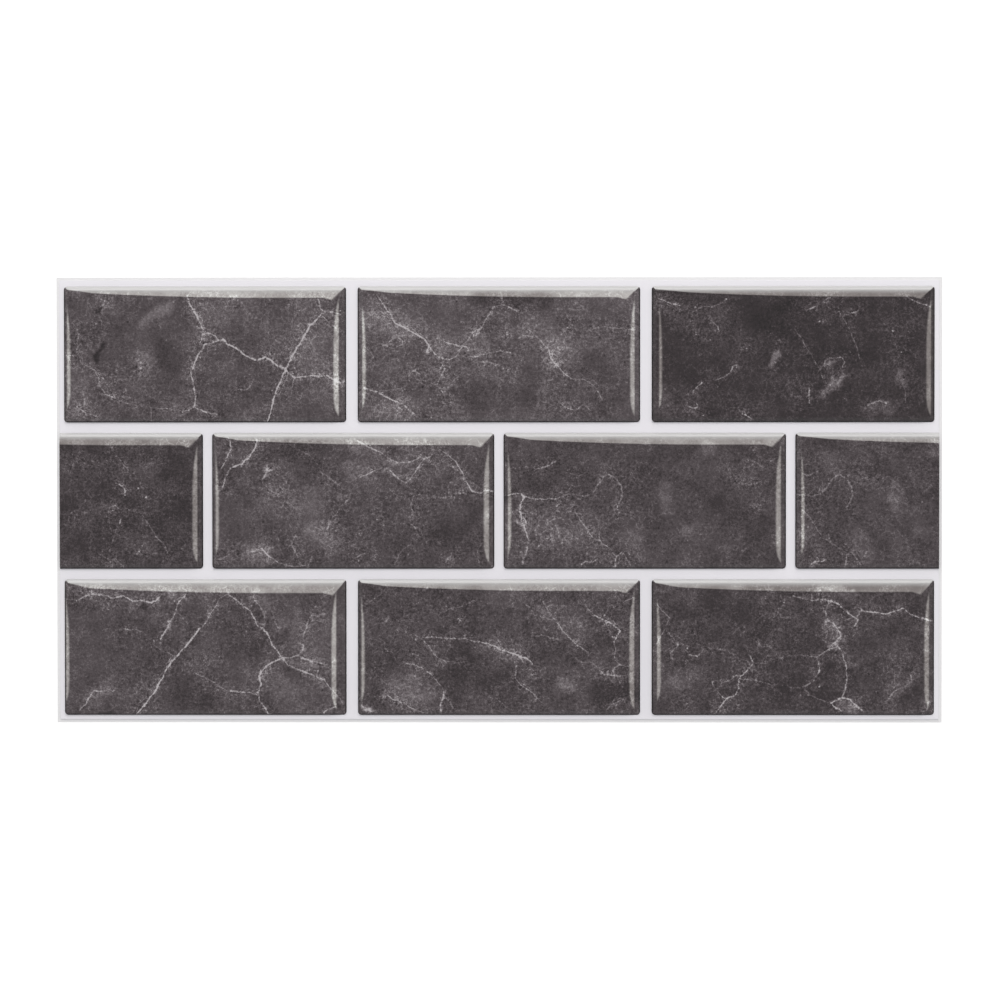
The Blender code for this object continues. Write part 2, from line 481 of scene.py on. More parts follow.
def tile_tree():
    """Everything above in one tree, from the grid to a tile open underneath"""
    tree = bpy.data.node_groups.new("gel_tile_form", "GeometryNodeTree")
    tree.is_modifier = True
    tree.interface.new_socket("Tile", in_out="OUTPUT", socket_type="NodeSocketGeometry")
    for name, kind in TILE_INPUTS:
        tree.interface.new_socket(name, in_out="INPUT", socket_type="NodeSocket" + kind)
    board = Board(tree)
    group = tree.nodes.new("NodeGroupInput")
    given = {name: Wire(board, group.outputs[name]) for name, kind in TILE_INPUTS}

    mesh, column, row = creased_grid(board)
    widths = (ROLL_WIDTH, plateau_length, END_FACET_WIDTH - ROLL_WIDTH, ROLL_WIDTH)
    x = run_of(column, column_lines, widths)
    shift = given["Facet Shift"]
    top_width = facet_width(x, shift)
    widths = (ROLL_WIDTH, TILE_WIDTH - ROLL_WIDTH - top_width, top_width - ROLL_WIDTH, ROLL_WIDTH)
    y = run_of(row, row_lines, widths)
    round_x, round_y = rounded(x - TILE_LENGTH / 2, y - TILE_WIDTH / 2)
    corner_x, corner_y, _ = given["Corner"].parts()
    low_x, _, low_z = given["Low"].parts()
    high_x = given["High"].parts()[0]
    kept_x = (round_x + TILE_LENGTH / 2).at_least(low_x - corner_x).at_most(high_x - corner_x)
    flat = board.vector(kept_x, round_y + TILE_WIDTH / 2, 0.0)
    mesh = board.node("GeometryNodeSetPosition", None, {"Geometry": mesh, "Position": flat})

    here = board.node("GeometryNodeInputPosition")
    x, y, _ = here.parts()
    inset = inset_of(x - TILE_LENGTH / 2, y - TILE_WIDTH / 2)
    mesh = store(board, mesh, "place", board.vector(x / MM, y / MM, inset / MM))
    routes = [board.node("GeometryNodeObjectInfo", None, {"Object": given[name]}, "Geometry")
              for name in ("Veins", "Clouds")]
    veins = roughened(board, routes[0], VEIN_STEP, VEIN_WANDER, VEIN_TREMBLE)
    offset, reach = nearest_route(board, veins, here)
    mesh = store(board, mesh, "vein_offset", offset)
    mesh = store(board, mesh, "vein_reach", reach)
    torn = here.along("ADD", board.push(here, TEAR_SIZE, TEAR_REACH, detail=4.0, roughness=0.6))
    clouds = roughened(board, routes[1], CLOUD_STEP, CLOUD_WANDER, CLOUD_TREMBLE)
    distance, width, strength = nearest_route(board, clouds, torn)[1].parts()
    cloud = (1 - distance / width).rise(0.0, 0.9) * strength + given["Tone"]
    mesh = store(board, mesh, "cloud", cloud, "FLOAT")
    for side in ("Left", "Right"):
        mesh = store(board, mesh, side.lower() + "_glow", given[side + " Glow"])

    height, highlight_strip = height_of(x, y, inset, facet_width(x, shift), shift)
    mesh = store(board, mesh, "facet", highlight_strip, "FLOAT")
    lifted = board.vector(x + corner_x, y + corner_y, low_z + height)
    mesh = board.node("GeometryNodeSetPosition", None, {"Geometry": mesh, "Position": lifted})
    mesh = board.node("GeometryNodeMergeByDistance", None, {"Geometry": mesh, "Distance": WELD})
    rim = board.node("GeometryNodeInputMeshEdgeNeighbors") < ONE_FACE_ONLY
    wall = board.node("GeometryNodeExtrudeMesh", {"mode": "EDGES"},
                      {"Mesh": mesh, "Selection": rim, "Offset Scale": 0.0})
    foot = Wire(board, wall.socket.node.outputs["Top"])
    x, y, _ = board.node("GeometryNodeInputPosition").parts()
    mesh = board.node("GeometryNodeSetPosition", None,
                      {"Geometry": wall, "Selection": foot, "Position": board.vector(x, y, low_z)})
    mesh = board.node("GeometryNodeSetShadeSmooth", None, {"Geometry": mesh})
    mesh = board.node("GeometryNodeRealizeInstances", None, {"Geometry": mesh})
    mesh = board.node("GeometryNodeSetMaterial", None, {"Geometry": mesh, "Material": given["Finish"]})
    board.node("NodeGroupOutput", None, (mesh,))
    return tree


tile_form = tile_tree()
print("tile tree:", len(tile_form.nodes), "nodes")

# %% [markdown]
# ## The marble's routes
# These are the veins of each tile, as (strength, half width, points), in the order in which a
# painter would lay them: the main vein first, then its branches, then the faint ones. A dot is a
# route of almost no length. In the top row the left tile has the longest vein, and the print gets
# quieter to the right.

# %% Draw the veins of the top row
def total(drawn):
    """How many routes the tiles have together"""
    return sum(len(routes) for routes in drawn.values())


DOT_LENGTH = 0.3


def dots(strength, size, *points):
    """Specks, as routes of almost no length"""
    return [(strength, size, [(x, y), (x + DOT_LENGTH, y)]) for x, y in points]


VEINS = {
    "gel_tile_top_left": [
        (1.0, 0.5, [(88.5, 37.1), (85.4, 33.7), (82.9, 29.9), (80.2, 25.1), (76.4, 18.2)]),
        (1.0, 0.5, [(76.4, 18.2), (73.6, 12), (71.9, 6.5), (70.2, 0.3)]),
        (0.75, 0.45, [(42.5, 43.5), (43.5, 40.5), (44.5, 38.8), (46, 36.1), (47.3, 33.8), (48, 31.3)]),
        (0.7, 0.4, [(47.5, 28.5), (47.8, 30), (49.9, 30.6), (52.3, 29.7), (53.1, 28.4),
                    (50.9, 27), (48.5, 26.8)]),
        (0.85, 0.5, [(53, 28.5), (55, 28.6), (56.5, 27), (60, 25.2), (62.6, 23.2), (66, 21.4)]),
        (0.95, 0.55, [(66, 21.4), (67.5, 21.5), (69.5, 22.4), (72.3, 20.4), (76.4, 18.2)]),
        (0.65, 0.5, [(48.5, 26.8), (47.1, 24.7), (45.7, 21.6), (43.7, 17.2), (44.7, 12.7),
                     (45.4, 9.2), (45, 5.4)]),
        (0.7, 0.45, [(45, 5.4), (48.8, 3.5), (53, 3)]),
        (0.5, 0.4, [(45, 5.4), (43, 4.2), (40.5, 3.8)]),
        (0.8, 0.45, [(76.4, 18.2), (79.2, 15.3), (82.6, 15.8), (86.7, 16.1), (91, 15.9), (95, 13.6)]),
        (0.4, 0.35, [(79.2, 15.3), (78.6, 12), (78.1, 9.2)]),
        (0.45, 0.35, [(77, 16), (75.5, 12.5), (74, 9.2)]),
        (0.6, 0.4, [(87.8, 42.3), (88.5, 39.2), (89.8, 38.2), (92.9, 37.8), (95.5, 37.1)]),
        (0.5, 0.35, [(89.1, 36.8), (91.9, 33.7), (94.3, 32.3)]),
        (0.45, 0.35, [(14.5, 44), (14, 41), (13, 37.5)]),
        (0.45, 0.35, [(11, 33.5), (12.5, 35.3), (13.5, 34.3)]),
        (0.6, 0.4, [(9.2, 19.6), (9.5, 18.2), (10.6, 17.9), (12, 15.4), (12.6, 12), (14.4, 9.9),
                    (17.8, 7.9)]),
        (0.35, 0.35, [(17.8, 7.9), (22, 6.5), (26.8, 5.4), (32, 4.8), (37, 4.5)]),
        (0.4, 0.35, [(12, 17.5), (15.1, 12.7), (18.2, 8.2)]),
        (0.35, 0.35, [(2.3, 34.4), (3.3, 34), (5.4, 30.6), (4.7, 27.8), (5.4, 23.4),
                      (3.3, 23.4), (1.6, 23)]),
        (0.35, 0.35, [(5.4, 23.4), (6.1, 20.3), (8.9, 18.9)]),
        (0.5, 0.35, [(4.4, 5.8), (6.8, 3.7), (11.6, 1.7)]),
        (0.35, 0.4, [(29.5, 7), (30.2, 4), (30.2, 0.3)]),
        (0.4, 0.35, [(58.8, 11.3), (63, 11.3), (64.5, 13), (65.4, 14.7)]),
        *dots(0.9, 0.4, (26.3, 18.7)),
        *dots(0.6, 0.35, (88, 41), (59, 40), (77.5, 40.5), (71, 42), (81, 38.5), (8.5, 29.5)),
    ],
    "gel_tile_top_middle": [
        (0.6, 0.4, [(6.9, 43.7), (9, 40.2), (11.4, 36.8), (13.1, 34)]),
        (0.85, 0.45, [(13.1, 34), (16.6, 32.3), (20.7, 29.9), (23.1, 28.5), (24.8, 26.1),
                      (23.8, 24.4)]),
        (0.55, 0.4, [(24.8, 26.1), (26.2, 24), (29, 22), (31.7, 21.3), (33.8, 22.7)]),
        (0.6, 0.4, [(49.7, 42.8), (49.7, 40.4), (46.9, 39.6), (44.5, 35.8), (42.8, 32.7),
                    (40.7, 29.9)]),
        (0.45, 0.35, [(42.8, 32.7), (39, 30.3), (36.2, 26.1), (33.8, 22.3)]),
        (0.55, 0.4, [(49.7, 40.4), (53.1, 39.2), (56.2, 37.5)]),
        (0.6, 0.4, [(27.6, 28.9), (31, 27.2), (35.2, 26.1), (38.6, 25.4), (37.9, 24.4)]),
        (0.5, 0.4, [(36.9, 22.3), (41.4, 22.7), (45.5, 24.1), (49.7, 24.4), (52.4, 24.1)]),
        (0.4, 0.4, [(43, 20.8), (45, 21), (46.5, 20.2)]),
        (0.5, 0.4, [(9.3, 26.1), (11.4, 28.2), (13.5, 29.1), (15.2, 28.5), (15.5, 26.8)]),
        (0.35, 0.35, [(9.3, 26.1), (12.4, 25.4), (15.2, 26.8)]),
        (0.45, 0.4, [(17.6, 15.8), (18.3, 17.2), (19.7, 17.9), (21.4, 16.8)]),
        (0.45, 0.4, [(22.1, 14.7), (24.8, 13.7), (27.6, 12.7), (29.3, 9.9)]),
        (0.5, 0.4, [(27.6, 13), (28.3, 15.4), (30, 18.2), (29, 20.3)]),
        (0.7, 0.45, [(2.4, 11.6), (5.5, 10.6), (8, 9.6), (11.8, 7.9), (15.9, 6.1), (19.3, 3)]),
        (0.35, 0.35, [(5.5, 10.6), (12.4, 11.3), (15.9, 12)]),
        (0.4, 0.35, [(23.1, 3), (26.2, 1.3)]),
        (0.35, 0.4, [(58.6, 32), (62.7, 28.5), (65.2, 25.4)]),
        (0.6, 0.35, [(65.2, 25.4), (66.9, 21.6), (69.3, 18.5), (72.1, 15.8)]),
        (0.35, 0.35, [(72.1, 15.8), (74.5, 14.6), (77.9, 14.7), (81.4, 12.3), (83.1, 9.9),
                      (84.1, 7.9)]),
        (0.35, 0.35, [(81, 32.3), (85.5, 32.8), (89.6, 32.5), (93.4, 32)]),
        (0.45, 0.35, [(2.8, 25.8), (5.2, 23.4), (5.5, 22)]),
        (0.35, 0.35, [(55.5, 29), (58, 30), (60, 29)]),
        (0.45, 0.4, [(70, 6), (72, 5), (75, 4.2), (78, 6), (80, 4)]),
        *dots(0.7, 0.35, (72.3, 32.5), (33.1, 16.5), (30.2, 7.3)),
        *dots(0.6, 0.6, (51.4, 30.1), (51.7, 17.9)),
        *dots(0.5, 0.35, (3.8, 37.8), (5.9, 37.5), (7.3, 36.5), (21, 20), (26, 18)),
    ],
    "gel_tile_top_right": [
        (0.58, 0.4, [(0.8, 43), (4.3, 42), (7.7, 40.6), (9.8, 40.2)]),
        (0.46, 0.4, [(13.9, 37.8), (17.4, 39.6), (20.8, 39.9), (24.3, 41)]),
        (0.46, 0.35, [(20.1, 35.4), (22.5, 33.4), (23.2, 31.3)]),
        (0.83, 0.4, [(13.9, 9.9), (15, 11.6), (17.4, 13.7)]),
        (0.65, 0.35, [(12.2, 5.8), (13.9, 4.8), (16, 5.1), (15.4, 6.5)]),
        (0.62, 0.4, [(22.5, 14.7), (25, 15.8), (27, 17.2), (27.7, 18.9), (29.1, 19.6)]),
        (0.5, 0.3, [(49.4, 31.6), (52.5, 26.8), (56, 21), (58, 16.8), (59.8, 13.4)]),
        (0.55, 0.3, [(64.2, 38.2), (66.3, 34.7), (68.4, 30.6), (70.4, 25.8), (71.5, 21.3)]),
        (0.58, 0.4, [(59.4, 20.3), (60.1, 21.6), (61.8, 22.3), (62.9, 20.6)]),
        (0.62, 0.4, [(62.9, 22.3), (65.3, 22.3), (66.3, 20.6), (65.3, 18.9)]),
        (0.7, 0.45, [(53.9, 11.6), (54.2, 8.5), (53.9, 6.5)]),
        (0.83, 0.35, [(59.8, 42), (61.1, 42.9)]),
        (0.71, 0.35, [(54.2, 39), (56.3, 39.9)]),
        (0.77, 0.35, [(68.4, 37.5), (70.8, 38.2)]),
        (0.65, 0.4, [(87.7, 43.4), (89.7, 42), (92.5, 40.6), (96, 39.2)]),
        (0.58, 0.35, [(87, 11.3), (87.2, 9), (87.3, 6.5)]),
        (0.52, 0.4, [(72.5, 4.8), (75.3, 6.5), (78, 7.2), (80.4, 6.5)]),
        (0.65, 0.35, [(29.8, 4.4), (31.1, 3), (33.9, 1.3)]),
        *dots(1.0, 0.35, (25.5, 42.2), (43.4, 28.3)),
        *dots(0.77, 0.35, (40.5, 30.4), (47.8, 40.8), (32.3, 25.3), (18, 2.5), (57.3, 34.6),
              (82.5, 31.2)),
        *dots(0.65, 0.35, (15, 30), (20, 34), (61, 18.5), (68, 24), (85.5, 24), (42.5, 20.5),
              (66, 8), (51, 4)),
    ],
}
print("veins in the top row:", total(VEINS))

# %% [markdown]
# ### The middle row
# Its tiles are set half a tile along, so the sheet's ends cut two of them. A cut tile is drawn as if
# it were whole. The one at the right end repeats the print of the tile beside it, shifted along, as
# rolls of printed film do.

# %% Draw the veins of the middle row
PRINT_SHIFT = -21.3


def shifted(routes):
    """The same print, further along"""
    return [
        (strength, width, [(x + PRINT_SHIFT, y) for x, y in points])
        for strength, width, points in routes
    ]


VEINS.update({
    "half_gel_tile_left": [
        (0.9, 0.5, [(67.6, 29.5), (68.6, 29.2), (70, 27.8), (70.5, 26.7), (70.3, 25.5)]),
        (0.45, 0.3, [(75.8, 19.2), (78.3, 15.7), (81, 10.9), (84.1, 8.1), (85.1, 5.4)]),
        (0.65, 0.45, [(68.7, 17.4), (68.5, 15.7)]),
        (0.4, 0.4, [(68.5, 15.7), (67.2, 13), (65.8, 9), (65, 6)]),
        (0.45, 0.4, [(65.8, 21.9), (67.2, 21.6), (68.3, 20.5)]),
        (0.35, 0.4, [(64.8, 19.9), (65.1, 15), (65.8, 13)]),
        (0.4, 0.4, [(61.7, 5.4), (65.2, 3), (67.2, 3.3), (70, 0.3)]),
        (0.3, 0.4, [(54, 38), (57, 36), (61, 35)]),
        (0.3, 0.4, [(66, 41), (68, 38.5), (71.5, 34)]),
        *dots(1.0, 0.5, (69.9, 26)),
        *dots(0.8, 0.45, (74.8, 27.8), (77.4, 24.5), (75.3, 6), (67.3, 22.3), (66.2, 20.2),
              (71.6, 20.3)),
        *dots(0.45, 0.4, (64, 37), (58.8, 37), (71.5, 20), (73, 20.5), (51, 18), (79.5, 38), (83, 37)),
    ],
    "gel_tile_centre_left": [
        (1.0, 0.5, [(15.5, 44.5), (15, 42.8), (14.3, 40.5), (12.5, 38.1), (10.1, 36.4),
                    (8.1, 35.4), (6.3, 34.7)]),
        (0.8, 0.45, [(6.3, 34.7), (5.3, 32.6), (3.6, 28.5)]),
        (0.68, 0.4, [(4.6, 45.7), (6.3, 44.3), (6.8, 41.9), (5.7, 39.5), (4.6, 37.1), (3.2, 34.7)]),
        (0.7, 0.7, [(19.1, 35.8), (18.9, 33.4), (17.6, 31.0)]),
        (0.6, 0.5, [(21, 34.6), (18.9, 33.4), (19.6, 31.2)]),
        (0.35, 0.4, [(17, 30.2), (21.2, 26.1), (24.6, 25), (26.7, 21.9)]),
        (0.35, 0.4, [(26.7, 42.9), (29.8, 41.2), (33.6, 39.1), (36.7, 35.7)]),
        (0.35, 0.5, [(37, 33.6), (40.5, 31.2), (44, 28.8)]),
        (0.45, 0.5, [(47.3, 24), (44.6, 21.9), (41.8, 17.8), (39.4, 13.6)]),
        (0.5, 0.45, [(13.6, 6.1), (17, 6.8), (19.1, 4.7), (23.2, 1.9), (28.7, 0.8), (32.9, 1.2),
                     (34.3, 4)]),
        (0.4, 0.4, [(27.4, 8.1), (29.4, 4.7), (29.8, 2.6)]),
        (0.35, 0.4, [(2, 3), (5, 4.5), (8, 6.5)]),
        (0.55, 0.45, [(49.8, 44), (54.6, 41.6), (58, 40.2), (61.5, 37.8), (64.2, 36.4),
                      (69.1, 37.1), (71.8, 38.5)]),
        (0.45, 0.4, [(50.8, 31.2), (54.6, 32.9), (58.7, 35)]),
        (0.6, 0.4, [(60.4, 34.7), (62.9, 32.3), (66.6, 29.5), (68, 30.5)]),
        (0.55, 0.4, [(68, 30.5), (70.4, 34.3), (73.2, 37.8), (75.9, 39.5)]),
        (0.6, 0.4, [(79.4, 40.5), (82.2, 38.5), (84.2, 36.4), (86.3, 33.3), (87.3, 29.8),
                    (89.7, 26.7)]),
        (0.65, 0.4, [(89.7, 26.7), (92.5, 25.9), (93.9, 27.1), (97, 26.7)]),
        (0.45, 0.35, [(81.5, 22.3), (83.2, 23.6), (83.9, 26.1), (87, 26.1)]),
        (0.3, 0.35, [(75.3, 25), (80.1, 24.3), (83.2, 25.4)]),
        (0.35, 0.45, [(69.4, 26.7), (68.7, 21.9), (69.4, 15), (71.1, 10.9)]),
        (0.4, 0.4, [(62.9, 1.9), (65.6, 6.8), (68.4, 8.1)]),
        (0.35, 0.4, [(91.8, 1.9), (91.5, 6.8), (93.2, 8.8)]),
        (0.5, 0.4, [(49, 3.7), (50.8, 4.7), (52.5, 5.4)]),
        (0.35, 0.35, [(80.1, 1.2), (81.5, 4), (82.8, 4.7)]),
        *dots(0.75, 0.35, (59.8, 34.2)),
        *dots(0.55, 0.4, (56, 4), (50.3, 2.8), (56.5, 17), (71, 11.5), (77.5, 9), (47.5, 9.5),
              (50.5, 12)),
    ],
    "gel_tile_centre_right": [
        (0.9, 0.45, [(0, 25.2), (2.4, 25.7), (5.9, 26.1), (7.1, 24.8)]),
        (1.0, 0.45, [(7.1, 24.8), (6.2, 23), (5.5, 20.2), (6.2, 18.8)]),
        (0.75, 0.35, [(6.2, 18.8), (5.8, 16.4), (6.9, 15)]),
        (0.75, 0.35, [(6.2, 18.8), (7.7, 16.2), (6.9, 15)]),
        (1.0, 0.45, [(6.9, 15), (7.9, 12.3), (8.6, 9.5)]),
        (0.45, 0.5, [(8.5, 9), (8.3, 8.1), (7.6, 4.7), (6.5, 1.9)]),
        (0.6, 0.45, [(7.1, 24.8), (10.7, 24), (14.1, 24.1), (18.3, 24.3), (20.7, 25.4)]),
        (0.45, 0.5, [(20.7, 25.4), (23.8, 25.7), (27.2, 25), (30.7, 26.1), (32.4, 28.8)]),
        (0.55, 0.55, [(32.4, 28.8), (34.1, 31.2), (36.5, 32.3), (38.9, 30.9), (40.7, 28.1),
                      (40.7, 24.7), (38.9, 21.2)]),
        (0.6, 0.4, [(11.4, 34.3), (14.1, 35), (16.2, 36), (18.3, 37.1)]),
        (0.65, 0.5, [(26.5, 1.2), (27.9, 2.6), (30.7, 2.3), (31.7, 3)]),
        (0.5, 0.4, [(38.3, 0.2), (38.9, 4.7), (40.7, 5.7), (43.8, 1.2)]),
        (0.5, 0.4, [(18.3, 21.6), (19.6, 22.6)]),
        (0.4, 0.4, [(24.5, 19.8), (27.9, 15), (30.7, 10.9), (36.9, 6.8)]),
        (0.6, 0.4, [(32.7, 11.9), (33.3, 9.5)]),
        (0.35, 0.4, [(44, 32), (47, 30.5)]),
        (0.35, 0.4, [(83.4, 37.8), (86.8, 36.7), (88.9, 35.4)]),
        (0.3, 0.4, [(81, 29.5), (85, 28.8), (89, 30)]),
        (0.4, 0.4, [(23, 33), (26, 32), (29, 33.5)]),
        *dots(0.7, 0.35, (85.7, 40.7), (92, 37.2)),
        *dots(0.5, 0.4, (15.2, 10.5), (80, 31), (20, 9), (23, 12), (12, 8), (86, 21), (88, 22)),
    ],
})
VEINS["half_gel_tile_right"] = shifted(VEINS["gel_tile_centre_right"])
print("veins in two rows:", total(VEINS))

# %% [markdown]
# ### The bottom row
# The marble is busiest here. Its veins cross whole tiles from top to bottom and branch like cracks.

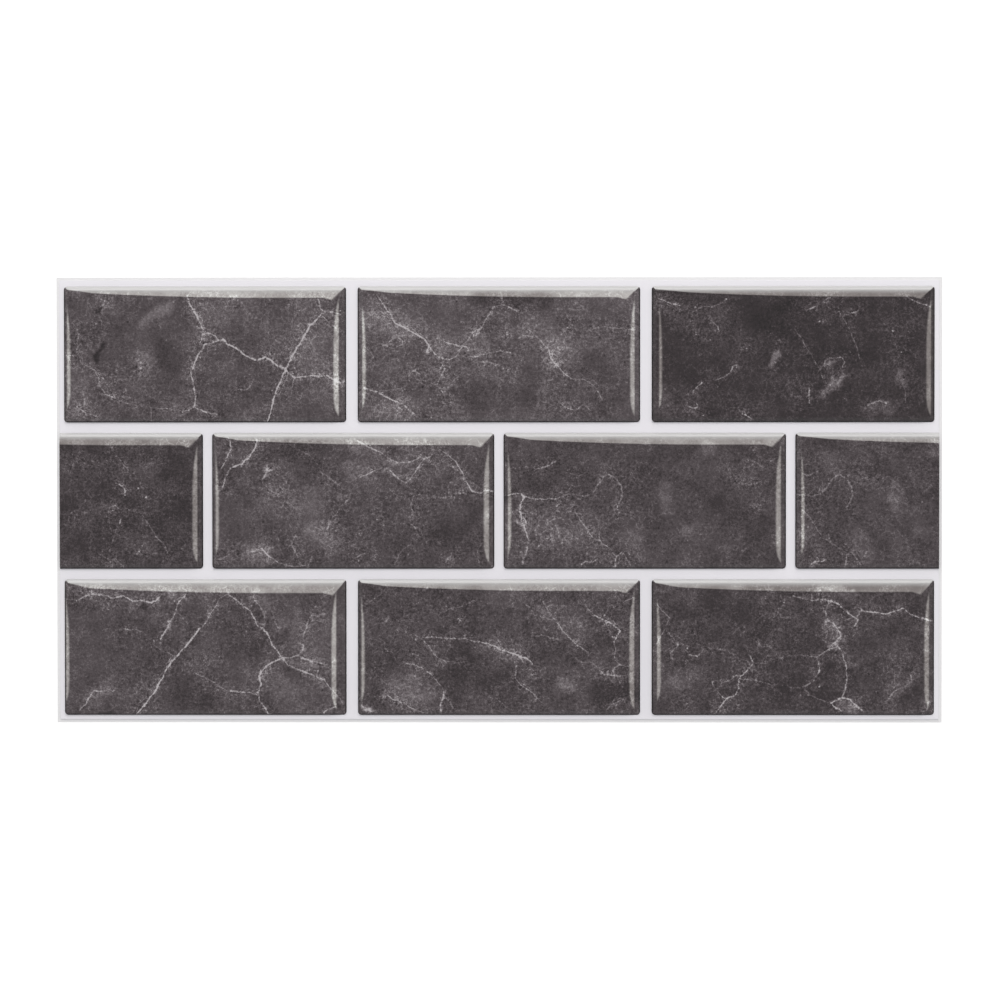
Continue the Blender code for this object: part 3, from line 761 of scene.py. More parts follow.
# %% Draw the veins of the bottom row
VEINS.update({
    "gel_tile_bottom_left": [
        (1.0, 0.5, [(46.5, 29.8), (44.3, 26.7), (42.2, 24.3), (39.5, 21.5), (37.4, 18.7),
                    (35, 16), (33.6, 13.2)]),
        (1.0, 0.5, [(33.6, 13.2), (31.9, 9.4), (29.5, 5.7), (27.1, 2.9), (24.7, 0.1)]),
        (0.4, 0.35, [(37.1, 20.5), (36, 18.5), (34.6, 17)]),
        (0.85, 0.45, [(41.9, 41.5), (39.5, 39.1), (38.5, 36), (36.7, 32.5), (35, 29.1), (33.3, 26)]),
        (0.55, 0.4, [(0.9, 40.1), (4.3, 39.8), (7.1, 41.1), (9.9, 41.8), (13.3, 41.5), (16.7, 40.2)]),
        (0.75, 0.45, [(16.7, 40.2), (20.5, 41.4), (23.6, 39.4), (27.1, 39.6)]),
        (0.95, 0.55, [(27.1, 39.6), (29.2, 38.9), (31.6, 39.4), (32.6, 40.8)]),
        (0.45, 0.3, [(55.7, 41.8), (53.3, 40.1), (51.6, 36.7), (49.5, 32.9), (47.4, 30.1)]),
        (0.75, 0.4, [(55.7, 41.8), (57.4, 41.1), (60.9, 38.4), (64, 36), (65.7, 32.9),
                     (66.7, 30.8), (68.8, 29.8)]),
        (0.9, 0.5, [(68.8, 29.8), (70.2, 27.7), (71.5, 24.6), (73.3, 22.5), (75, 19.8)]),
        (0.5, 0.4, [(65, 40.8), (67.1, 38), (68.8, 34.9), (69.1, 31.5), (68.8, 29.8)]),
        (0.85, 0.5, [(75, 19.8), (71.5, 18.1), (68.8, 16), (67.1, 13.2), (67.8, 10.5), (66.7, 7.7)]),
        (0.8, 0.5, [(66.7, 7.7), (67.1, 5), (69.1, 2.6), (70.2, 0.5)]),
        (0.8, 0.45, [(75, 19.8), (76.7, 17.7), (79.5, 16), (82.9, 15)]),
        (0.6, 0.4, [(82.9, 15), (87, 13.2), (89.5, 12.2), (91.9, 9.1)]),
        (0.45, 0.35, [(91.9, 9.1), (94, 6.5), (96, 3.9)]),
        (0.65, 0.4, [(75, 19.8), (78.1, 19.8), (80.5, 20.8), (82.9, 19.4), (86.4, 18.4), (90.2, 17.4)]),
        (0.4, 0.4, [(80.5, 20.8), (82.2, 22.2), (82.2, 26.3), (83.6, 31.2), (85.7, 35.3)]),
        (0.6, 0.4, [(89.1, 0.5), (90.8, 1.9), (93.2, 2.9)]),
        (0.5, 0.4, [(45.3, 14.3), (50.5, 11.9), (53.5, 10), (56, 8.4)]),
        (0.55, 0.4, [(56, 8.4), (60.9, 7.9), (64, 7.7), (66.7, 6.7)]),
        (0.45, 0.35, [(51.9, 9.1), (53.3, 10.5)]),
        (0.55, 0.4, [(20.5, 29.8), (22.3, 29.4), (24.3, 29.8), (26.4, 28.7)]),
        (0.45, 0.4, [(30.5, 26), (30.9, 24.3), (33.3, 22.5), (37.1, 20.5)]),
        (0.5, 0.4, [(5, 1.5), (6.1, 2.9), (7.4, 3.6), (8.1, 5.7), (9.9, 8.4), (13.3, 8.4)]),
        (0.35, 0.35, [(71.5, 36), (72.6, 32.5), (74, 29.8)]),
        (0.35, 0.35, [(38.5, 36), (40.5, 33.5), (42.5, 31.5)]),
        *dots(0.6, 0.45, (16.5, 8.1), (43, 18), (48, 19), (53, 20), (68.5, 31)),
    ],
    "gel_tile_bottom_middle": [
        (0.9, 0.45, [(81.7, 34.3), (84.8, 32.9), (87.5, 31.5), (90.3, 29.1), (89.6, 27.7),
                     (88.2, 24.9)]),
        (0.55, 0.4, [(88.2, 24.9), (88.6, 22.2), (88.2, 19.8), (90.3, 17.4), (93, 16.7)]),
        (0.5, 0.4, [(90.3, 17.4), (87.9, 16.3), (87.2, 13.9)]),
        (0.5, 0.4, [(83.4, 15.3), (85.1, 13.9), (88.2, 13.6), (92, 13.6)]),
        (0.45, 0.35, [(81.7, 34.3), (79.3, 36.7), (77.9, 39.4)]),
        (0.45, 0.4, [(84.8, 32.9), (86.1, 29.8), (88.2, 26.3)]),
        (0.5, 0.35, [(63.7, 39.4), (65.5, 36), (67.5, 33.2), (70.3, 29.4), (73.7, 26),
                     (77.2, 22.9), (79.6, 21.5)]),
        (0.35, 0.35, [(73, 21.5), (76.5, 18.4), (81, 17.7), (83.4, 15.3)]),
        (0.4, 0.4, [(61.3, 27), (64.1, 27.7), (66.2, 26.7), (68.9, 26)]),
        (0.35, 0.35, [(58, 38), (60.5, 35.5), (61.5, 33)]),
        (0.6, 0.45, [(21, 26.7), (26.9, 27), (31.7, 26.3), (36.5, 26.3), (41.4, 25.3),
                     (45.5, 24.6), (48.2, 23.2)]),
        (0.8, 0.5, [(48.2, 23.2), (51.7, 21.8), (55.1, 20.8), (58.6, 19.1), (60.1, 17.5)]),
        (0.4, 0.35, [(47.9, 26.3), (49.6, 23.6), (52.4, 21.5)]),
        (0.5, 0.45, [(36.5, 27.4), (39.3, 27.8)]),
        (0.45, 0.35, [(18.6, 28.7), (22, 26), (24.8, 23.6), (26.9, 20.1), (29.6, 18.4)]),
        (0.35, 0.35, [(29.6, 18.4), (34, 18.2), (38.6, 18.4)]),
        (0.55, 0.4, [(16.2, 17.7), (20, 17.4), (23.4, 15.6), (25.5, 13.9), (27.6, 11.2), (29.6, 8.4)]),
        (0.85, 0.5, [(29.6, 8.4), (29.6, 5.7), (28.3, 3.6), (28.6, 1.5)]),
        (0.5, 0.4, [(29.6, 6.7), (31.7, 4.6), (32.7, 2.2)]),
        (0.6, 0.4, [(7.2, 6), (10, 6.9), (12.4, 5.3), (15.9, 4.3), (18.6, 2.2), (22.7, 0.7)]),
        (0.5, 0.4, [(54.4, 17.4), (54.4, 12.5), (56.5, 10.1), (59.3, 8.4), (63.4, 4.6)]),
        (0.45, 0.35, [(57.9, 15.3), (60, 16), (61.3, 14.3), (59.3, 13.6)]),
        (0.35, 0.35, [(47.6, 5.7), (51, 2.9), (53.8, 1.5)]),
        (0.45, 0.4, [(85.5, 2.2), (88.9, 4.3), (93, 6.3)]),
        (0.35, 0.4, [(29.6, 35.3), (31.7, 36.7), (35.8, 37.4), (40, 39.4)]),
        (0.35, 0.4, [(13.8, 32.5), (17.2, 34.3)]),
        (0.35, 0.35, [(2.8, 38), (6.2, 40.8), (8.3, 42.2)]),
        (0.4, 0.35, [(17.9, 20.8), (19.3, 21.2), (20.7, 20.5)]),
        (0.5, 0.4, [(91.5, 39), (94.5, 40.3)]),
        (0.5, 0.4, [(1.2, 3.2), (3, 2.3), (5, 1)]),
        *dots(0.7, 0.4, (35, 32.5), (24, 43.5), (29, 43)),
        *dots(0.5, 0.4, (9.5, 32.5), (64.5, 25), (7, 16), (16.5, 29), (10, 22), (64, 30.5), (36, 34)),
    ],
    "gel_tile_bottom_right": [
        (0.65, 0.4, [(48.4, 41.1), (51.8, 40.1), (55.3, 39.6), (58, 39.9), (61.5, 39.6)]),
        (0.6, 0.35, [(57.3, 42.2), (58, 39.9)]),
        (0.9, 0.5, [(61.5, 39.6), (64.2, 38.4), (66.3, 36.3), (68.7, 34.3), (70.8, 32.9),
                    (69.7, 30.5)]),
        (0.75, 0.4, [(70.8, 34.3), (71.8, 36), (74.6, 35.6), (77.3, 35.3), (80.8, 34.9), (84.2, 36)]),
        (0.85, 0.45, [(84.2, 36), (86.6, 37), (89, 34.9), (92.5, 33.6), (96, 32.9)]),
        (0.4, 0.35, [(68.4, 36.3), (70.4, 37.4), (72.8, 36.3)]),
        (0.55, 0.45, [(60.8, 39.4), (59.8, 36), (60.4, 32.5), (62.9, 31.2), (63.9, 29.8),
                      (65.3, 27.7)]),
        (0.6, 0.45, [(65.3, 27.7), (62.9, 24.9), (60.8, 23.6)]),
        (0.45, 0.4, [(60.4, 29.1), (60.1, 25.6), (60.4, 23.6)]),
        (0.45, 0.4, [(65.3, 34.6), (66.3, 32.5), (68.4, 33.2)]),
        (0.7, 0.45, [(64.2, 23.9), (62.2, 23.2), (60.4, 22.2), (56.7, 20.1), (57.3, 17.4),
                     (57.7, 15.3)]),
        (0.6, 0.45, [(57.7, 15.3), (56, 12.2), (54, 10.8), (51.8, 9.8)]),
        (0.5, 0.35, [(56.7, 20.1), (52.5, 20.5), (51.1, 20.8)]),
        (0.35, 0.35, [(41.5, 19.4), (47, 20.5), (51.1, 20.8)]),
        (0.7, 0.45, [(64.2, 23.9), (65.6, 21.5), (66.6, 18.1), (67.3, 13.2), (66.6, 9.1), (65.3, 6)]),
        (0.9, 0.5, [(65.3, 1.5), (62.9, 2.9), (61.8, 4.3), (65.3, 6), (68.4, 5.3), (70.4, 3.2),
                    (72.5, 1.9)]),
        (0.5, 0.4, [(61.8, 4.3), (57.3, 5.7), (54.6, 7), (51.8, 9.8)]),
        (0.45, 0.35, [(52.5, 9.4), (50, 9.3), (47.7, 9.4)]),
        (0.75, 0.45, [(33.9, 20.1), (35.3, 18.1), (33.2, 16), (30.1, 12.5)]),
        (0.8, 0.45, [(30.1, 12.5), (29.8, 9.1), (28.7, 6.7), (25.6, 5.7), (24.3, 3.6), (21.5, 0.5)]),
        (0.5, 0.35, [(24.3, 3.6), (25.3, 1.2)]),
        (0.5, 0.4, [(23.9, 10.8), (27, 12.2), (29.4, 13.9), (30.1, 12.5)]),
        (0.55, 0.4, [(20.8, 11.9), (23.9, 12)]),
        (0.55, 0.4, [(20.8, 11.5), (21.5, 9.1), (24.6, 6)]),
        (0.5, 0.35, [(30.1, 12.5), (33.9, 12.2), (37.4, 11.5), (41.1, 10.6)]),
        (0.4, 0.35, [(35.3, 18.1), (40.1, 17.7)]),
        (0.4, 0.35, [(30, 18.6), (32.5, 17.2), (33.2, 16)]),
        (0.4, 0.4, [(15.3, 24.9), (20.1, 23.2), (26.3, 22.2), (30.1, 19.4)]),
        (0.5, 0.4, [(11.9, 22.2), (13.9, 20.5), (16, 20.5), (17.4, 22.2)]),
        (0.45, 0.35, [(6.3, 20.1), (7, 22.2), (8.8, 23.6)]),
        (0.5, 0.4, [(1.5, 38.7), (3.6, 36.2), (6.3, 33.2), (4.6, 29.8), (2.9, 27), (1.5, 24.3)]),
        (0.45, 0.35, [(4.6, 29.8), (7.7, 26.3), (9.1, 23.6)]),
        (0.4, 0.35, [(45.6, 39.4), (44.2, 36), (42.2, 33.9), (40.1, 31.2)]),
        (0.4, 0.35, [(41.5, 35.3), (42.9, 33.6), (47, 33.6)]),
        (0.35, 0.35, [(36.7, 26.3), (37, 23.6), (41.5, 23.6)]),
        (0.4, 0.5, [(80.8, 5), (83.5, 8.4), (87, 9.8), (89.4, 11.9), (89, 14.6), (90.4, 15.6)]),
        (0.5, 0.4, [(92.8, 1.5), (94.6, 1.5), (95.2, 4.3)]),
        *dots(0.95, 0.4, (57.3, 9.9)),
        *dots(0.5, 0.35, (50.1, 26.1), (14.5, 28), (84, 17), (86, 16), (75, 15.5), (30, 3.5), (12, 4)),
    ],
})
print("veins in all three rows:", total(VEINS))

# %% [markdown]
# ## The marble's clouds
# Paler and darker drifts lie under the veins. They are routes as well, fat ones, and a negative
# strength makes a drift darker than the tile.

# %% Draw the clouds
CLOUDS = {
    "gel_tile_top_left": [
        (0.20, 3.0, [(27, 34), (37, 40.5)]),
        (0.14, 4.5, [(26, 22), (29, 21)]),
        (0.12, 9.0, [(50, 36), (60, 40)]),
        (0.12, 7.0, [(4, 6), (5, 15)]),
        (0.10, 12.0, [(80, 24), (86, 38)]),
        (-0.30, 1.4, [(12, 38), (12.6, 38)]),
        (-0.35, 1.1, [(13.5, 27), (10.8, 21.5)]),
        (-0.10, 7.0, [(35, 25), (36, 12)]),
    ],
    "gel_tile_top_middle": [
        (0.16, 9.0, [(60, 31), (67, 25)]),
        (0.14, 7.0, [(12, 5), (18, 5)]),
        (0.16, 8.0, [(3, 36), (13, 33)]),
        (-0.16, 5.0, [(40, 43), (64, 43)]),
        (0.12, 7.0, [(30, 27), (44, 27)]),
        (-0.10, 8.0, [(40, 10), (60, 8)]),
        (-0.10, 8.0, [(84, 20), (88, 8)]),
    ],
    "gel_tile_top_right": [
        (0.38, 2.2, [(41.4, 19), (43, 24)]),
        (0.36, 2.8, [(59.4, 9.9), (65.5, 15.2)]),
        (0.32, 1.6, [(60.5, 20.8), (61.5, 20.5)]),
        (0.24, 2.6, [(84.8, 16.5), (86.6, 13.8)]),
        (0.17, 4.5, [(76, 4.5), (81, 4.5)]),
        (0.12, 8.0, [(5, 38), (22, 36)]),
        (0.12, 8.0, [(4, 8), (15, 6)]),
        (0.08, 8.0, [(20, 29), (32, 27)]),
        (0.08, 6.0, [(34, 4), (40, 3)]),
        (-0.08, 7.0, [(72, 22), (92, 28)]),
        (-0.08, 8.0, [(36, 37), (48, 38)]),
    ],
    "half_gel_tile_left": [
        (0.12, 5.0, [(72, 35), (78, 33)]),
        (0.12, 6.0, [(73, 10), (79, 8)]),
        (0.10, 4.0, [(61, 20), (66, 21)]),
        (-0.08, 8.0, [(88, 34), (90, 20)]),
    ],
    "gel_tile_centre_left": [
        (0.24, 2.8, [(18.5, 33.5), (19.5, 33.5)]),
        (0.20, 5.0, [(14, 5.5), (18, 5.5)]),
        (0.18, 6.0, [(36, 13), (40, 9)]),
        (0.12, 10.0, [(52, 34), (66, 36)]),
        (0.10, 9.0, [(20, 26), (34, 20)]),
        (-0.06, 9.0, [(80, 10), (90, 12)]),
        (-0.05, 6.0, [(24, 42), (36, 41)]),
        (0.18, 4.5, [(50, 42), (58, 40)]),
    ],
    "gel_tile_centre_right": [
        (0.16, 4.0, [(55.5, 28), (55.5, 20)]),
        (0.16, 6.0, [(43, 12), (46, 6)]),
        (0.16, 4.0, [(69, 41), (71, 41)]),
        (0.10, 6.0, [(31, 37), (34, 35)]),
        (0.12, 3.5, [(63, 13), (65, 14)]),
        (0.10, 10.0, [(12, 14), (28, 12)]),
        (-0.08, 9.0, [(76, 20), (86, 14)]),
    ],
    "gel_tile_bottom_left": [
        (0.20, 2.2, [(36.5, 41.5), (37.5, 41.5)]),
        (0.18, 4.0, [(66, 41.5), (70, 38)]),
        (0.14, 5.0, [(70, 37), (74, 32)]),
        (0.10, 6.0, [(9, 6), (14, 8)]),
        (0.12, 12.0, [(82, 30), (84, 20)]),
        (0.08, 9.0, [(64, 12), (78, 8)]),
        (-0.28, 2.0, [(12, 1), (16, 1)]),
        (-0.25, 2.0, [(26.5, 37.5), (27.5, 37)]),
        (-0.10, 8.0, [(58, 27), (64, 24)]),
        (-0.08, 7.0, [(40, 6), (52, 5)]),
    ],
    "gel_tile_bottom_middle": [
        (0.20, 8.0, [(13, 9), (24, 6)]),
        (0.16, 5.0, [(16, 12), (18, 13)]),
        (0.18, 4.5, [(70, 9), (73, 9)]),
        (0.09, 9.0, [(66, 36), (75, 30)]),
        (0.10, 6.0, [(45, 41), (55, 41)]),
        (0.12, 4.0, [(2.5, 34), (4, 32)]),
        (0.12, 5.0, [(42, 24), (55, 20)]),
        (-0.14, 9.0, [(86, 8), (94, 8)]),
        (-0.07, 6.0, [(36, 14), (50, 12)]),
        (0.45, 1.7, [(2.4, 2.6), (4.4, 2.2)]),
    ],
    "gel_tile_bottom_right": [
        (0.28, 3.2, [(65, 3.5), (69, 2.5)]),
        (0.24, 4.8, [(62, 31), (63, 27)]),
        (0.12, 6.0, [(10, 12), (14, 13)]),
        (0.12, 5.0, [(82, 8), (89, 13)]),
        (0.10, 5.0, [(62, 42), (68, 41)]),
        (-0.10, 5.0, [(59, 13), (62, 16)]),
        (-0.08, 9.0, [(20, 36), (36, 32)]),
        (-0.14, 4.0, [(34, 45), (54, 45)]),
        (-0.14, 4.0, [(68, 45), (92, 45)]),
    ],
}
CLOUDS["half_gel_tile_right"] = shifted(CLOUDS["gel_tile_centre_right"])
print("clouds drawn:", total(CLOUDS))

# %% [markdown]
# ## Tone, crease and glow
# Each tile has a tone of its own, because every one is printed with another part of the marble, and
# the crease of its top facet lies a little further in or out than on its neighbours. Clear gel is
# also a lens. Light from either side goes in through the rolled edge and is gathered on the print a
# few millimetres further in, in a band that is straight outside, swells inside and comes to a point
# at each end. A path tracer would need a very long time to find such light, so the print is simply
# paler there. The further a tile is from that side's light, the further in its band lies. Each row
# is the tone, the crease's shift in mm, and the left and the right glow. A glow is the band's place
# in mm from the tile's left end, its width in mm and its strength.

# %% Set what differs from tile to tile
TRAITS = {
    "gel_tile_top_left": (0.45, 0.1, (1.0, 1.4, 0.75), (94.8, 2.0, 0.85)),
    "gel_tile_top_middle": (0.47, -0.05, (1.5, 1.4, 0.8), (95.4, 1.7, 0.75)),
    "gel_tile_top_right": (0.25, -0.2, (2.4, 1.2, 0.9), (96.0, 1.8, 0.9)),
    "half_gel_tile_left": (0.31, 0.35, (1.0, 1.3, 0.8), (95.4, 1.9, 0.85)),
    "gel_tile_centre_left": (0.405, 0.35, (1.1, 1.3, 0.8), (95.5, 2.0, 0.9)),
    "gel_tile_centre_right": (0.37, 0.2, (1.4, 1.3, 0.8), (95.5, 1.9, 0.85)),
    "half_gel_tile_right": (0.37, -0.15, (1.9, 1.3, 0.8), (95.5, 1.9, 0.85)),
    "gel_tile_bottom_left": (0.42, 0.9, (0.3, 1.4, 0.75), (93.8, 1.8, 0.9)),
    "gel_tile_bottom_middle": (0.38, 0.12, (1.1, 1.3, 0.85), (95.3, 1.9, 0.9)),
    "gel_tile_bottom_right": (0.345, 0.5, (1.7, 1.5, 0.8), (95.5, 1.8, 0.9)),
}
tones = [tone for tone, *_ in TRAITS.values()]
print("tones from", min(tones), "to", max(tones))

# %% [markdown]
# ## A finish to start from
# Every finish here is a Principled shader with its nodes on a board. What is the same all over a
# surface is set on the shader's own sockets, and only what varies is linked.

# %% Start a finish
def new_finish(name, **constants):
    material = bpy.data.materials.new(name)
    material.use_nodes = True
    shader = material.node_tree.nodes["Principled BSDF"]
    for socket, value in constants.items():
        shader.inputs[socket.replace("_", " ")].default_value = value
    return material, Board(material.node_tree), shader


def feed(board, shader, **links):
    """Link what varies over the surface to the shader"""
    for socket, wire in links.items():
        board.tree.links.new(wire.socket, shader.inputs[socket.replace("_", " ")])


def bump(board, height, distance):
    """A Normal from a height between 0 and 1 that stands for a real distance"""
    return board.node("ShaderNodeBump", None, {"Height": height, "Distance": distance}, "Normal")


def blend(board, share, first, second):
    """Mix two colours"""
    first = first if isinstance(first, Wire) else (*first, 1.0)
    second = second if isinstance(second, Wire) else (*second, 1.0)
    return board.node("ShaderNodeMix", {"data_type": "RGBA"}, {0: share, 6: first, 7: second}, 2)


def grey(board, level):
    """A colour from one number"""
    return board.node("ShaderNodeCombineColor", None, (level, level, level))


def coordinates(board, system="Object"):
    """Where the point is, in the object's own space unless another system is named"""
    return board.node("ShaderNodeTexCoord", None, (), system)


def stored(board, name, output="Vector"):
    """What the tile tree stored under a name"""
    return board.node("ShaderNodeAttribute", {"attribute_name": name}, (), output)


# %% [markdown]
# ## Marble under clear gel
# The print is charcoal marble. Five sizes of noise make its drifts, billows, mottling, grain and
# flecks, and they only add up to one number, the level, which a colour ramp turns into the print's
# few colours. The veins raise the level along their routes, broken up by noise so that they come
# and go, and their dust makes the stone busier beside them. Nets of hairlines, pale specks and dark
# pits fill what lies between.

# %% Veins, hairlines and specks
FRAY = 0.8
VEIN_END = (1.2, 0.7)
LEAST_SHOWN = 0.28
HALO_REACH = 2.4
HALO_SHARE = 0.17
VEIN_CONTRAST = 1.15


def vein_level(board, spot, distance, width, strength):
    """How strongly the drawn veins show"""
    across = stored(board, "vein_offset").length()
    frayed = across + (board.noise(spot, 0.7 * MM, 3.0, 0.8) - 0.5) * FRAY
    wide = width * (board.noise(spot, 2.5 * MM, 3.0, 0.7) * 1.5 + 0.05)
    core = (frayed / wide).rise(1.0, 0.1) * distance.rise(*VEIN_END)
    gaps = board.noise(spot, 1.3 * MM, 3.0, 0.8).rise(0.35, 0.59)
    broken = gaps * (1 - LEAST_SHOWN) + LEAST_SHOWN
    patches = board.noise(spot, 3 * MM, 3.0, 0.6).rise(0.4, 0.7)
    halo = (distance / HALO_REACH).rise(1.0, 0.0) * patches
    shown = strength**VEIN_CONTRAST
    return core * broken * shown * (1 - HALO_SHARE) + halo * shown * HALO_SHARE


def hairline_level(board, spot, cell, line, patch, start):
    """A net of hairlines that shows only in patches"""
    warped = spot.along("ADD", board.push(spot, cell * 0.6, (cell, cell, cell), 3.0, 0.6))
    settings = {"feature": "DISTANCE_TO_EDGE"}
    edge = board.node("ShaderNodeTexVoronoi", settings, {"Vector": warped, "Scale": 1 / cell})
    where = board.noise(spot, patch, 3.0, 0.6).rise(start, start + 0.14)
    return edge.rise(line, 0.0) * where


def speck_level(board, spot, cell, size, share):
    """Specks in a few of the cells of a Voronoi pattern"""
    voronoi = board.node("ShaderNodeTexVoronoi", None, {"Vector": spot, "Scale": 1 / cell})
    colour = Wire(board, voronoi.socket.node.outputs["Color"])
    chosen = colour.parts()[0].rise(1 - share, 1 - share + 0.02)
    return voronoi.rise(size, size * 0.4) * chosen


# %% [markdown]
# ### The level of the print
# Real marble is busy in some places and calm in others. So the fine texture is made by itself and
# then scaled: it is strongest in the dust right beside a vein, still lively a few millimetres off,
# and elsewhere it comes and goes. The slow drifts and billows lie under everything.

# %% The level of the print at a point
LIVELY_REACH = 8.0
DUST_REACH = (2.4, 0.3)
CALM = 0.52


def print_level(board, spot):
    """The level of the marble, and its finest texture by itself"""
    cloud = stored(board, "cloud", "Fac")
    distance, width, strength = stored(board, "vein_reach").parts()
    drift = board.noise(spot, 24 * MM, 5.0, 0.6) - 0.5
    billow = board.noise(spot, 7 * MM, 5.0, 0.6) - 0.5
    mottle = board.noise(spot, 2.4 * MM, 3.0, 0.65) - 0.5
    grain = board.noise(spot, 1.0 * MM, 2.0, 1.0) - 0.5
    fleck = board.noise(spot, 0.9 * MM, 2.0, 0.9).rise(0.53, 0.80)
    busy = (distance / LIVELY_REACH).rise(1.0, 0.0) * 0.35
    busy = busy + board.noise(spot, 12 * MM, 3.0, 0.6).rise(0.35, 0.65) * 0.35 + CALM
    busy = busy + distance.rise(*DUST_REACH) * strength * 0.4
    fine = mottle * 0.36 + grain * 1.0 + fleck * 0.3 - 0.05
    net = hairline_level(board, spot, cell=1.9 * MM, line=0.10, patch=7 * MM, start=0.36)
    specks = speck_level(board, spot, cell=2.6 * MM, size=0.17, share=0.07)
    pits = speck_level(board, spot, cell=2.9 * MM, size=0.18, share=0.12)
    fine = fine + net * 0.12 + specks * 0.35 - pits * 0.3
    level = cloud + drift * 0.35 + billow * 0.32 + fine * busy
    level = level + vein_level(board, spot, distance, width, strength)
    wide_net = hairline_level(board, spot, cell=11 * MM, line=0.022, patch=30 * MM, start=0.48)
    close_net = hairline_level(board, spot, cell=4 * MM, line=0.05, patch=16 * MM, start=0.46)
    return level + wide_net * 0.16 + close_net * 0.18, fine


# %% [markdown]
# ### From the level to the gloss
# Where light gathers, at a tile's ends and in the strip under its top facet, the light is painted
# on the print, which is made about four times as bright, with a little painted stray light on top.
# The band at an end is given by its lower and upper tip in mm and by how full its curve is. The
# roll above the top facet carries a painted highlight, pale all over and paler at its foot, and
# along the foot of the other rolls the print is painted dark, a painted shade where no light comes
# back. The gel itself is the gloss: a clear coat over a surface that is just uneven enough to look
# cast, and duller at that foot.

# %% Mix the marble and cover it with gel
PRINT_COLOURS = (
    (0.00, (0.013, 0.0095, 0.0105)),
    (0.25, (0.033, 0.025, 0.0275)),
    (0.45, (0.078, 0.064, 0.069)),
    (0.65, (0.150, 0.130, 0.138)),
    (0.85, (0.290, 0.265, 0.275)),
    (1.00, (0.450, 0.420, 0.435)),
)
# Painted light: the gathered and stray light on the print, the top roll's highlight and the rims' shade
GATHERED = (3.9, 4.5, 4.15)
STRAY = (0.085, 0.078, 0.072)
BRIGHTEST = (0.75, 0.74, 0.74)
TOP_ROLL_HIGHLIGHT = (0.44, 0.435, 0.435)
TOP_FOOT_HIGHLIGHT = (0.50, 0.495, 0.495)
RIM_PAINTED_SHADE = (0.008, 0.007, 0.008)
ROLL_INSET = (3.0, 0.7)
FOOT_INSET = (0.75, 0.2)
RIM_INSET = (0.62, 0.15)
RIM_SHADE_SHARE = 0.85
RIM_DULLNESS = 0.75
LEFT_BAND = (4.4, 40.6, 3.4)
RIGHT_BAND = (1.9, 43.0, 4.0)
WIDEST = 0.36
LOWER_FULLNESS = 1.5
BAND_GAIN = 1.15
OUTER_BLUR = (-0.2, 0.5)
INNER_BLUR = (-0.3, 0.6)


def glow_level(board, name, side, x, y, bottom, top, fullness):
    """The painted light band at one end: straight outside, swelling inside, longer above than below"""
    start, width, strength = stored(board, name).parts()
    widest = bottom + (top - bottom) * WIDEST
    above = ((y - widest) / (top - widest)).at_least(0.0).at_most(1.0)
    below = ((widest - y) / (widest - bottom)).at_least(0.0).at_most(1.0)
    swell = (1 - above**fullness - below ** (LOWER_FULLNESS * fullness)) * width
    across = (x - start) * side
    inside = across.rise(*OUTER_BLUR) * (swell - across).rise(*INNER_BLUR)
    return inside * strength * BAND_GAIN


def marble_gel():
    constants = {"Specular_IOR_Level": 0.0, "Coat_Roughness": 0.04, "Coat_IOR": 1.5}
    material, board, shader = new_finish("marble_gel", **constants)
    spot = coordinates(board)
    x, y, inset = stored(board, "place").parts()
    level, fine = print_level(board, spot)
    plain, soft = [board.node("ShaderNodeValToRGB", {"stops": PRINT_COLOURS}, (value,))
                   for value in (level, level - fine * 0.4)]

    facet = stored(board, "facet", "Fac")
    ends = glow_level(board, "left_glow", 1, x, y, *LEFT_BAND)
    ends = ends + glow_level(board, "right_glow", -1, x, y, *RIGHT_BAND)
    # Painted highlight: gathered light at the ends and under the top facet, as a brighter print
    painted_gathered_light = soft.along("MULTIPLY", GATHERED).along("ADD", STRAY).along("MINIMUM", BRIGHTEST)
    glow = (ends * (1 + fine * 0.8)).at_least(facet).at_most(1.0)
    colour = blend(board, glow, plain, painted_gathered_light)
    # Painted highlight on the top roll, paler still at its foot
    colour = blend(board, facet * inset.rise(*ROLL_INSET), colour, TOP_ROLL_HIGHLIGHT)
    colour = blend(board, facet * inset.rise(*FOOT_INSET), colour, TOP_FOOT_HIGHLIGHT)
    # Painted shade along the foot of the other rolls, where no light comes back
    rim = inset.rise(*RIM_INSET) * (1 - facet)
    colour = blend(board, rim * RIM_SHADE_SHARE, colour, RIM_PAINTED_SHADE)

    waves = board.noise(spot, 6 * MM, 2.0, 0.5) * 0.8 + board.noise(spot, 1.2 * MM, 2.0, 0.5) * 0.2
    roughness = board.noise(spot, 3 * MM, 3.0, 0.6) * 0.06 + 0.05
    feed(board, shader, Base_Color=colour, Roughness=roughness)
    feed(board, shader, Coat_Weight=1 - rim * RIM_DULLNESS, Normal=bump(board, waves, 0.012 * MM))
    return material


gel = marble_gel()
print("marble gel:", len(gel.node_tree.nodes), "nodes")

# %% [markdown]
# ## Cast the ten tiles
# Each tile takes its box from the solid that it stands for. The modifier's inputs are set by their
# identifiers, before the object is first evaluated. Then the evaluated result is turned into a plain
# mesh and its open underside is closed with one face, which lies on the film.

# %% Make the tiles
def plain_mesh(carrier, name):
    """The evaluated result as a mesh, closed underneath and with its faces outwards"""
    depsgraph = bpy.context.evaluated_depsgraph_get()
    mesh = bpy.data.meshes.new_from_object(carrier.evaluated_get(depsgraph))
    mesh.name = name
    work = bmesh.new()
    work.from_mesh(mesh)
    rim = [edge for edge in work.edges if edge.is_boundary]
    bmesh.ops.edgeloop_fill(work, edges=rim)
    bmesh.ops.recalc_face_normals(work, faces=work.faces)
    still_open = sum(not edge.is_manifold for edge in work.edges)
    work.to_mesh(mesh)
    work.free()
    print(f"{name}: {len(mesh.polygons)} faces, {still_open} open edges")
    return mesh


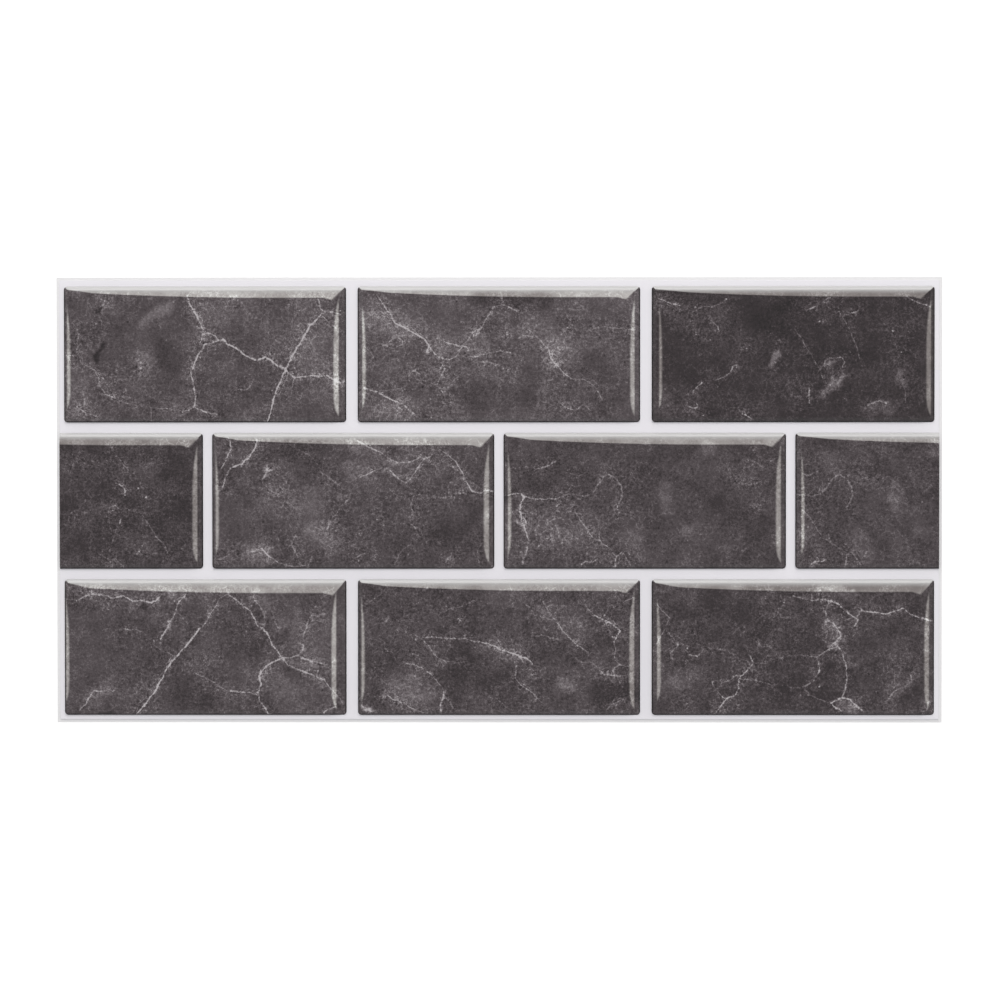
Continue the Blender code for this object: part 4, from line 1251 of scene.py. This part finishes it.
def cast_tile(node):
    """One tile of the sheet, in the place of the solid with that name"""
    low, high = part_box(node)
    corner = low.copy()
    if node == "half_gel_tile_left":
        corner.x = high.x - TILE_LENGTH
    name = node.replace("gel_tile", "cast_tile")
    routes = [route_mesh("veins_" + name, VEINS[node]), route_mesh("clouds_" + name, CLOUDS[node])]
    tone, shift, left_glow, right_glow = TRAITS[node]
    given = (corner, low, high, *routes, left_glow, right_glow, shift * MM, tone, gel)
    piece = add_object(name, bpy.data.meshes.new(name + "_blank"))
    modifier = piece.modifiers.new("form", "NODES")
    modifier.node_group = tile_form
    sockets = [item for item in tile_form.interface.items_tree if item.in_out == "INPUT"]
    for socket, value in zip(sockets, given):
        modifier[socket.identifier] = value
    mesh = plain_mesh(piece, name)
    piece.modifiers.clear()
    piece.data = mesh
    for helper in routes:
        bpy.data.objects.remove(helper)
    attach(piece, "root")
    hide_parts(node)
    return piece


tiles = [cast_tile(node) for node in sorted(VEINS)]
print("tiles:", len(tiles), "with", sum(len(tile.data.polygons) for tile in tiles), "faces")

# %% [markdown]
# ## The film
# The tiles were cast on a calendered vinyl film, which shows between them as grout lines. It is a
# slab a half millimetre thick, cut with a knife, so its edges are only barely rounded. A bevel on a
# box gives that, and the liner under it can be cut in the same way.

# %% Cut a sheet of film or paper
CORNER_EASE = 3
STEEP_ANGLE = math.radians(60)
SHARP_ANGLE = math.radians(35)


def rise_of(edge):
    """How far apart in height the ends of an edge are"""
    lower, upper = edge.verts
    return abs(lower.co.z - upper.co.z)


def cut_sheet(node, name, ease, material):
    """A sheet in the place of a solid, with its edges eased by the given amount"""
    low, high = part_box(node)
    size = high - low
    work = bmesh.new()
    bmesh.ops.create_cube(work, size=1.0)
    bmesh.ops.scale(work, vec=size, verts=work.verts)
    bmesh.ops.translate(work, vec=(low + high) / 2, verts=work.verts)
    upright = [edge for edge in work.edges if rise_of(edge) > size.z / 2]
    reach = CORNER_EASE * ease
    bmesh.ops.bevel(work, geom=upright, offset=reach, segments=4, profile=0.5, affect="EDGES")
    level = [edge for edge in work.edges if edge.calc_face_angle(0) > STEEP_ANGLE]
    bmesh.ops.bevel(work, geom=level, offset=ease, segments=3, profile=0.5, affect="EDGES")
    bmesh.ops.recalc_face_normals(work, faces=work.faces)
    mesh = bpy.data.meshes.new(name)
    work.to_mesh(mesh)
    work.free()
    mesh.shade_smooth()
    mesh.set_sharp_from_angle(angle=SHARP_ANGLE)
    mesh.materials.append(material)
    piece = add_object(name, mesh)
    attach(piece, "root")
    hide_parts(node)
    return piece


# %% [markdown]
# ### The vinyl's finish
# The vinyl is a satin white with a touch of lilac. A slow sway between two nearly equal whites keeps
# it from looking like plain paint, and a stipple far finer than a grain of sand makes it satin: it
# varies the roughness and the bump at once. A picture of vinyl would repeat, and noise doesn't.

# %% Make the film
FILM_EASE = 0.10 * MM
FILM_SHADES = ((0.760, 0.744, 0.784), (0.775, 0.759, 0.798))
FILM_PIT = (0.70, 0.69, 0.72)


def film_finish():
    material, board, shader = new_finish("grout_film", IOR=1.46, Specular_IOR_Level=0.3)
    spot = coordinates(board)
    stipple = board.noise(spot, 0.35 * MM, 3.0, 0.6)
    sway = board.noise(spot, 18 * MM, 3.0, 0.5)
    colour = blend(board, sway.rise(0.3, 0.7), *FILM_SHADES)
    colour = blend(board, stipple.rise(0.55, 0.8) * 0.12, colour, FILM_PIT)
    height = stipple * 0.4 + board.noise(spot, 5 * MM, 2.0, 0.5) * 0.6
    feed(board, shader, Base_Color=colour, Roughness=stipple * 0.12 + 0.54)
    feed(board, shader, Normal=bump(board, height, 0.008 * MM))
    return material


film = cut_sheet("backing_film", "film", FILM_EASE, film_finish())
print("film:", len(film.data.polygons), "faces")

# %% [markdown]
# ## The liner
# The glue on the film's back is covered by release paper, which stands out a millimetre all round so
# that a fingernail can lift it. It is white with a faint fibre, and on its back it has the pale
# squared pattern that such papers carry for cutting the sheet to size.

# %% Make the liner
LINER_EASE = 0.03 * MM
PAPER_SHADES = ((0.775, 0.77, 0.78), (0.735, 0.73, 0.74))
GRID_COLOUR = (0.42, 0.46, 0.52)
GRID_PITCH = 10 * MM
GRID_LINE = 0.035


def liner_finish():
    material, board, shader = new_finish("liner_paper", Roughness=0.6, IOR=1.45)
    spot = coordinates(board)
    fibre = board.noise(spot.along("MULTIPLY", (1.0, 3.0, 1.0)), 1.4 * MM, 5.0, 0.7)
    colour = blend(board, fibre.rise(0.35, 0.75), *PAPER_SHADES)
    facing = board.node("ShaderNodeNewGeometry", None, (), "Normal").parts()[2]
    under = facing.rise(-0.2, -0.6)
    lines = 0.0
    for distance in spot.parts()[:2]:
        squares = distance / GRID_PITCH
        inside = squares.maths("FRACT", squares)
        lines = abs(inside - 0.5).rise(0.5 - GRID_LINE, 0.5) + lines
    colour = blend(board, lines.at_most(1.0) * under * 0.5, colour, GRID_COLOUR)
    feed(board, shader, Base_Color=colour, Normal=bump(board, fibre, 0.01 * MM))
    return material


liner = cut_sheet("release_liner", "liner", LINER_EASE, liner_finish())
print("liner:", len(liner.data.polygons), "faces")

# %% [markdown]
# ## Floor and light
# The sheet lies on a white table. The table is a large pale plane, and a little emission that only
# the camera and reflections see brings it up to white, so the light on the object stays plain and
# the floor keeps the shadow.

# %% Lay the floor
FLOOR_HALF_SIZE = 6.0
FLOOR_DROP = 0.05 * MM
FLOOR_GLOW = 0.28


def floor_finish():
    material, board, shader = new_finish("white_table", Roughness=0.9, Specular_IOR_Level=0.1)
    spot = coordinates(board)
    mottle = board.noise(spot, 50 * MM, 3.0, 0.5).rise(0.3, 0.7)
    colour = blend(board, mottle, (0.86, 0.86, 0.86), (0.88, 0.88, 0.88))
    path = board.tree.nodes.new("ShaderNodeLightPath").outputs
    seen = Wire(board, path["Is Camera Ray"]) + Wire(board, path["Is Glossy Ray"])
    seen = (seen + Wire(board, path["Is Transmission Ray"])).at_most(1.0)
    shader.inputs["Emission Strength"].default_value = 1.0
    feed(board, shader, Base_Color=colour, Emission_Color=grey(board, seen * FLOOR_GLOW))
    return material


def lay_floor():
    sides = ((-1, -1), (1, -1), (1, 1), (-1, 1))
    corners = [(x * FLOOR_HALF_SIZE, y * FLOOR_HALF_SIZE, -FLOOR_DROP) for x, y in sides]
    mesh = bpy.data.meshes.new("floor")
    mesh.from_pydata(corners, [], [(0, 1, 2, 3)])
    mesh.materials.append(floor_finish())
    floor = add_object("floor", mesh)
    return floor


floor = lay_floor()
print("floor:", [round(side, 2) for side in floor.dimensions])

# %% [markdown]
# ### The lights
# The light is a studio's: a pale room, a large soft panel overhead beyond the sheet's top edge, and
# a dimmer one on the wall behind it. Seen from above, flat gel mirrors the plain room, and the
# rolled edges along the tiles' tops mirror the overhead panel, whose near end fades out, and then
# the wall panel. Those reflections, with a painted highlight on the top rolls and facets, draw the
# bright lines there.

# %% Hang the panels and light the room
PANEL_HEIGHT = 2.4
PANEL_START = 0.60
PANEL_END = 4.2
PANEL_LENGTH = 1.5
PANEL_TINT = (1.0, 0.985, 0.965)
SOFT_END = 2.2
CEILING_RADIANCE = 5.0
WALL_RADIANCE = 1.9
RIGHT_FADE = (0.25, 0.75)
RIGHT_SHARE = 0.9
ROOM_OVERHEAD = 0.50
ROOM_AROUND = 0.78
OVERHEAD_EDGE = (0.90, 0.985)


def hang_panel(name, depth, place, turn, radiance, near_share):
    """A soft panel, given the brightness that a mirror would show, dimmer near and to the right"""
    light = bpy.data.lights.new(name, "AREA")
    light.shape = "RECTANGLE"
    light.size = PANEL_LENGTH
    light.size_y = depth
    light.energy = radiance * math.pi * PANEL_LENGTH * depth
    light.color = PANEL_TINT
    light.use_nodes = True
    board = Board(light.node_tree)
    right, far, _ = board.node("ShaderNodeNewGeometry", None, (), "Parametric").parts()
    ramp_end = (SOFT_END - PANEL_START) / depth
    soft = far.rise(0.0, ramp_end) * (1 - near_share) + near_share
    soft = soft * (right.share(*RIGHT_FADE) * (RIGHT_SHARE - 1) + 1)
    board.tree.links.new(soft.socket, light.node_tree.nodes["Emission"].inputs["Strength"])
    panel = add_object(name, light)
    panel.location = place
    panel.rotation_euler = (turn, 0.0, 0.0)
    panel.visible_camera = False


def light_room():
    """A world that is darker overhead than around"""
    world = bpy.data.worlds.new("room")
    world.use_nodes = True
    bpy.context.scene.world = world
    board = Board(world.node_tree)
    height = coordinates(board, "Generated").parts()[2]
    level = height.rise(*OVERHEAD_EDGE) * (ROOM_OVERHEAD - ROOM_AROUND) + ROOM_AROUND
    background = world.node_tree.nodes["Background"]
    board.tree.links.new(grey(board, level).socket, background.inputs["Color"])


ceiling_depth = PANEL_END - PANEL_START
ceiling_middle = (0, (PANEL_START + PANEL_END) / 2, PANEL_HEIGHT)
hang_panel("ceiling_panel", ceiling_depth, ceiling_middle, 0.0, CEILING_RADIANCE, 0.0)
wall_middle = (0, PANEL_END, PANEL_HEIGHT / 2)
hang_panel("wall_panel", PANEL_HEIGHT, wall_middle, math.radians(-90), WALL_RADIANCE, 1.0)
light_room()

# %% [markdown]
# ## View transform
# The view transform is the plain one, so a colour renders about as it is written.

# %% Finish
bpy.context.scene.view_settings.view_transform = "Standard"
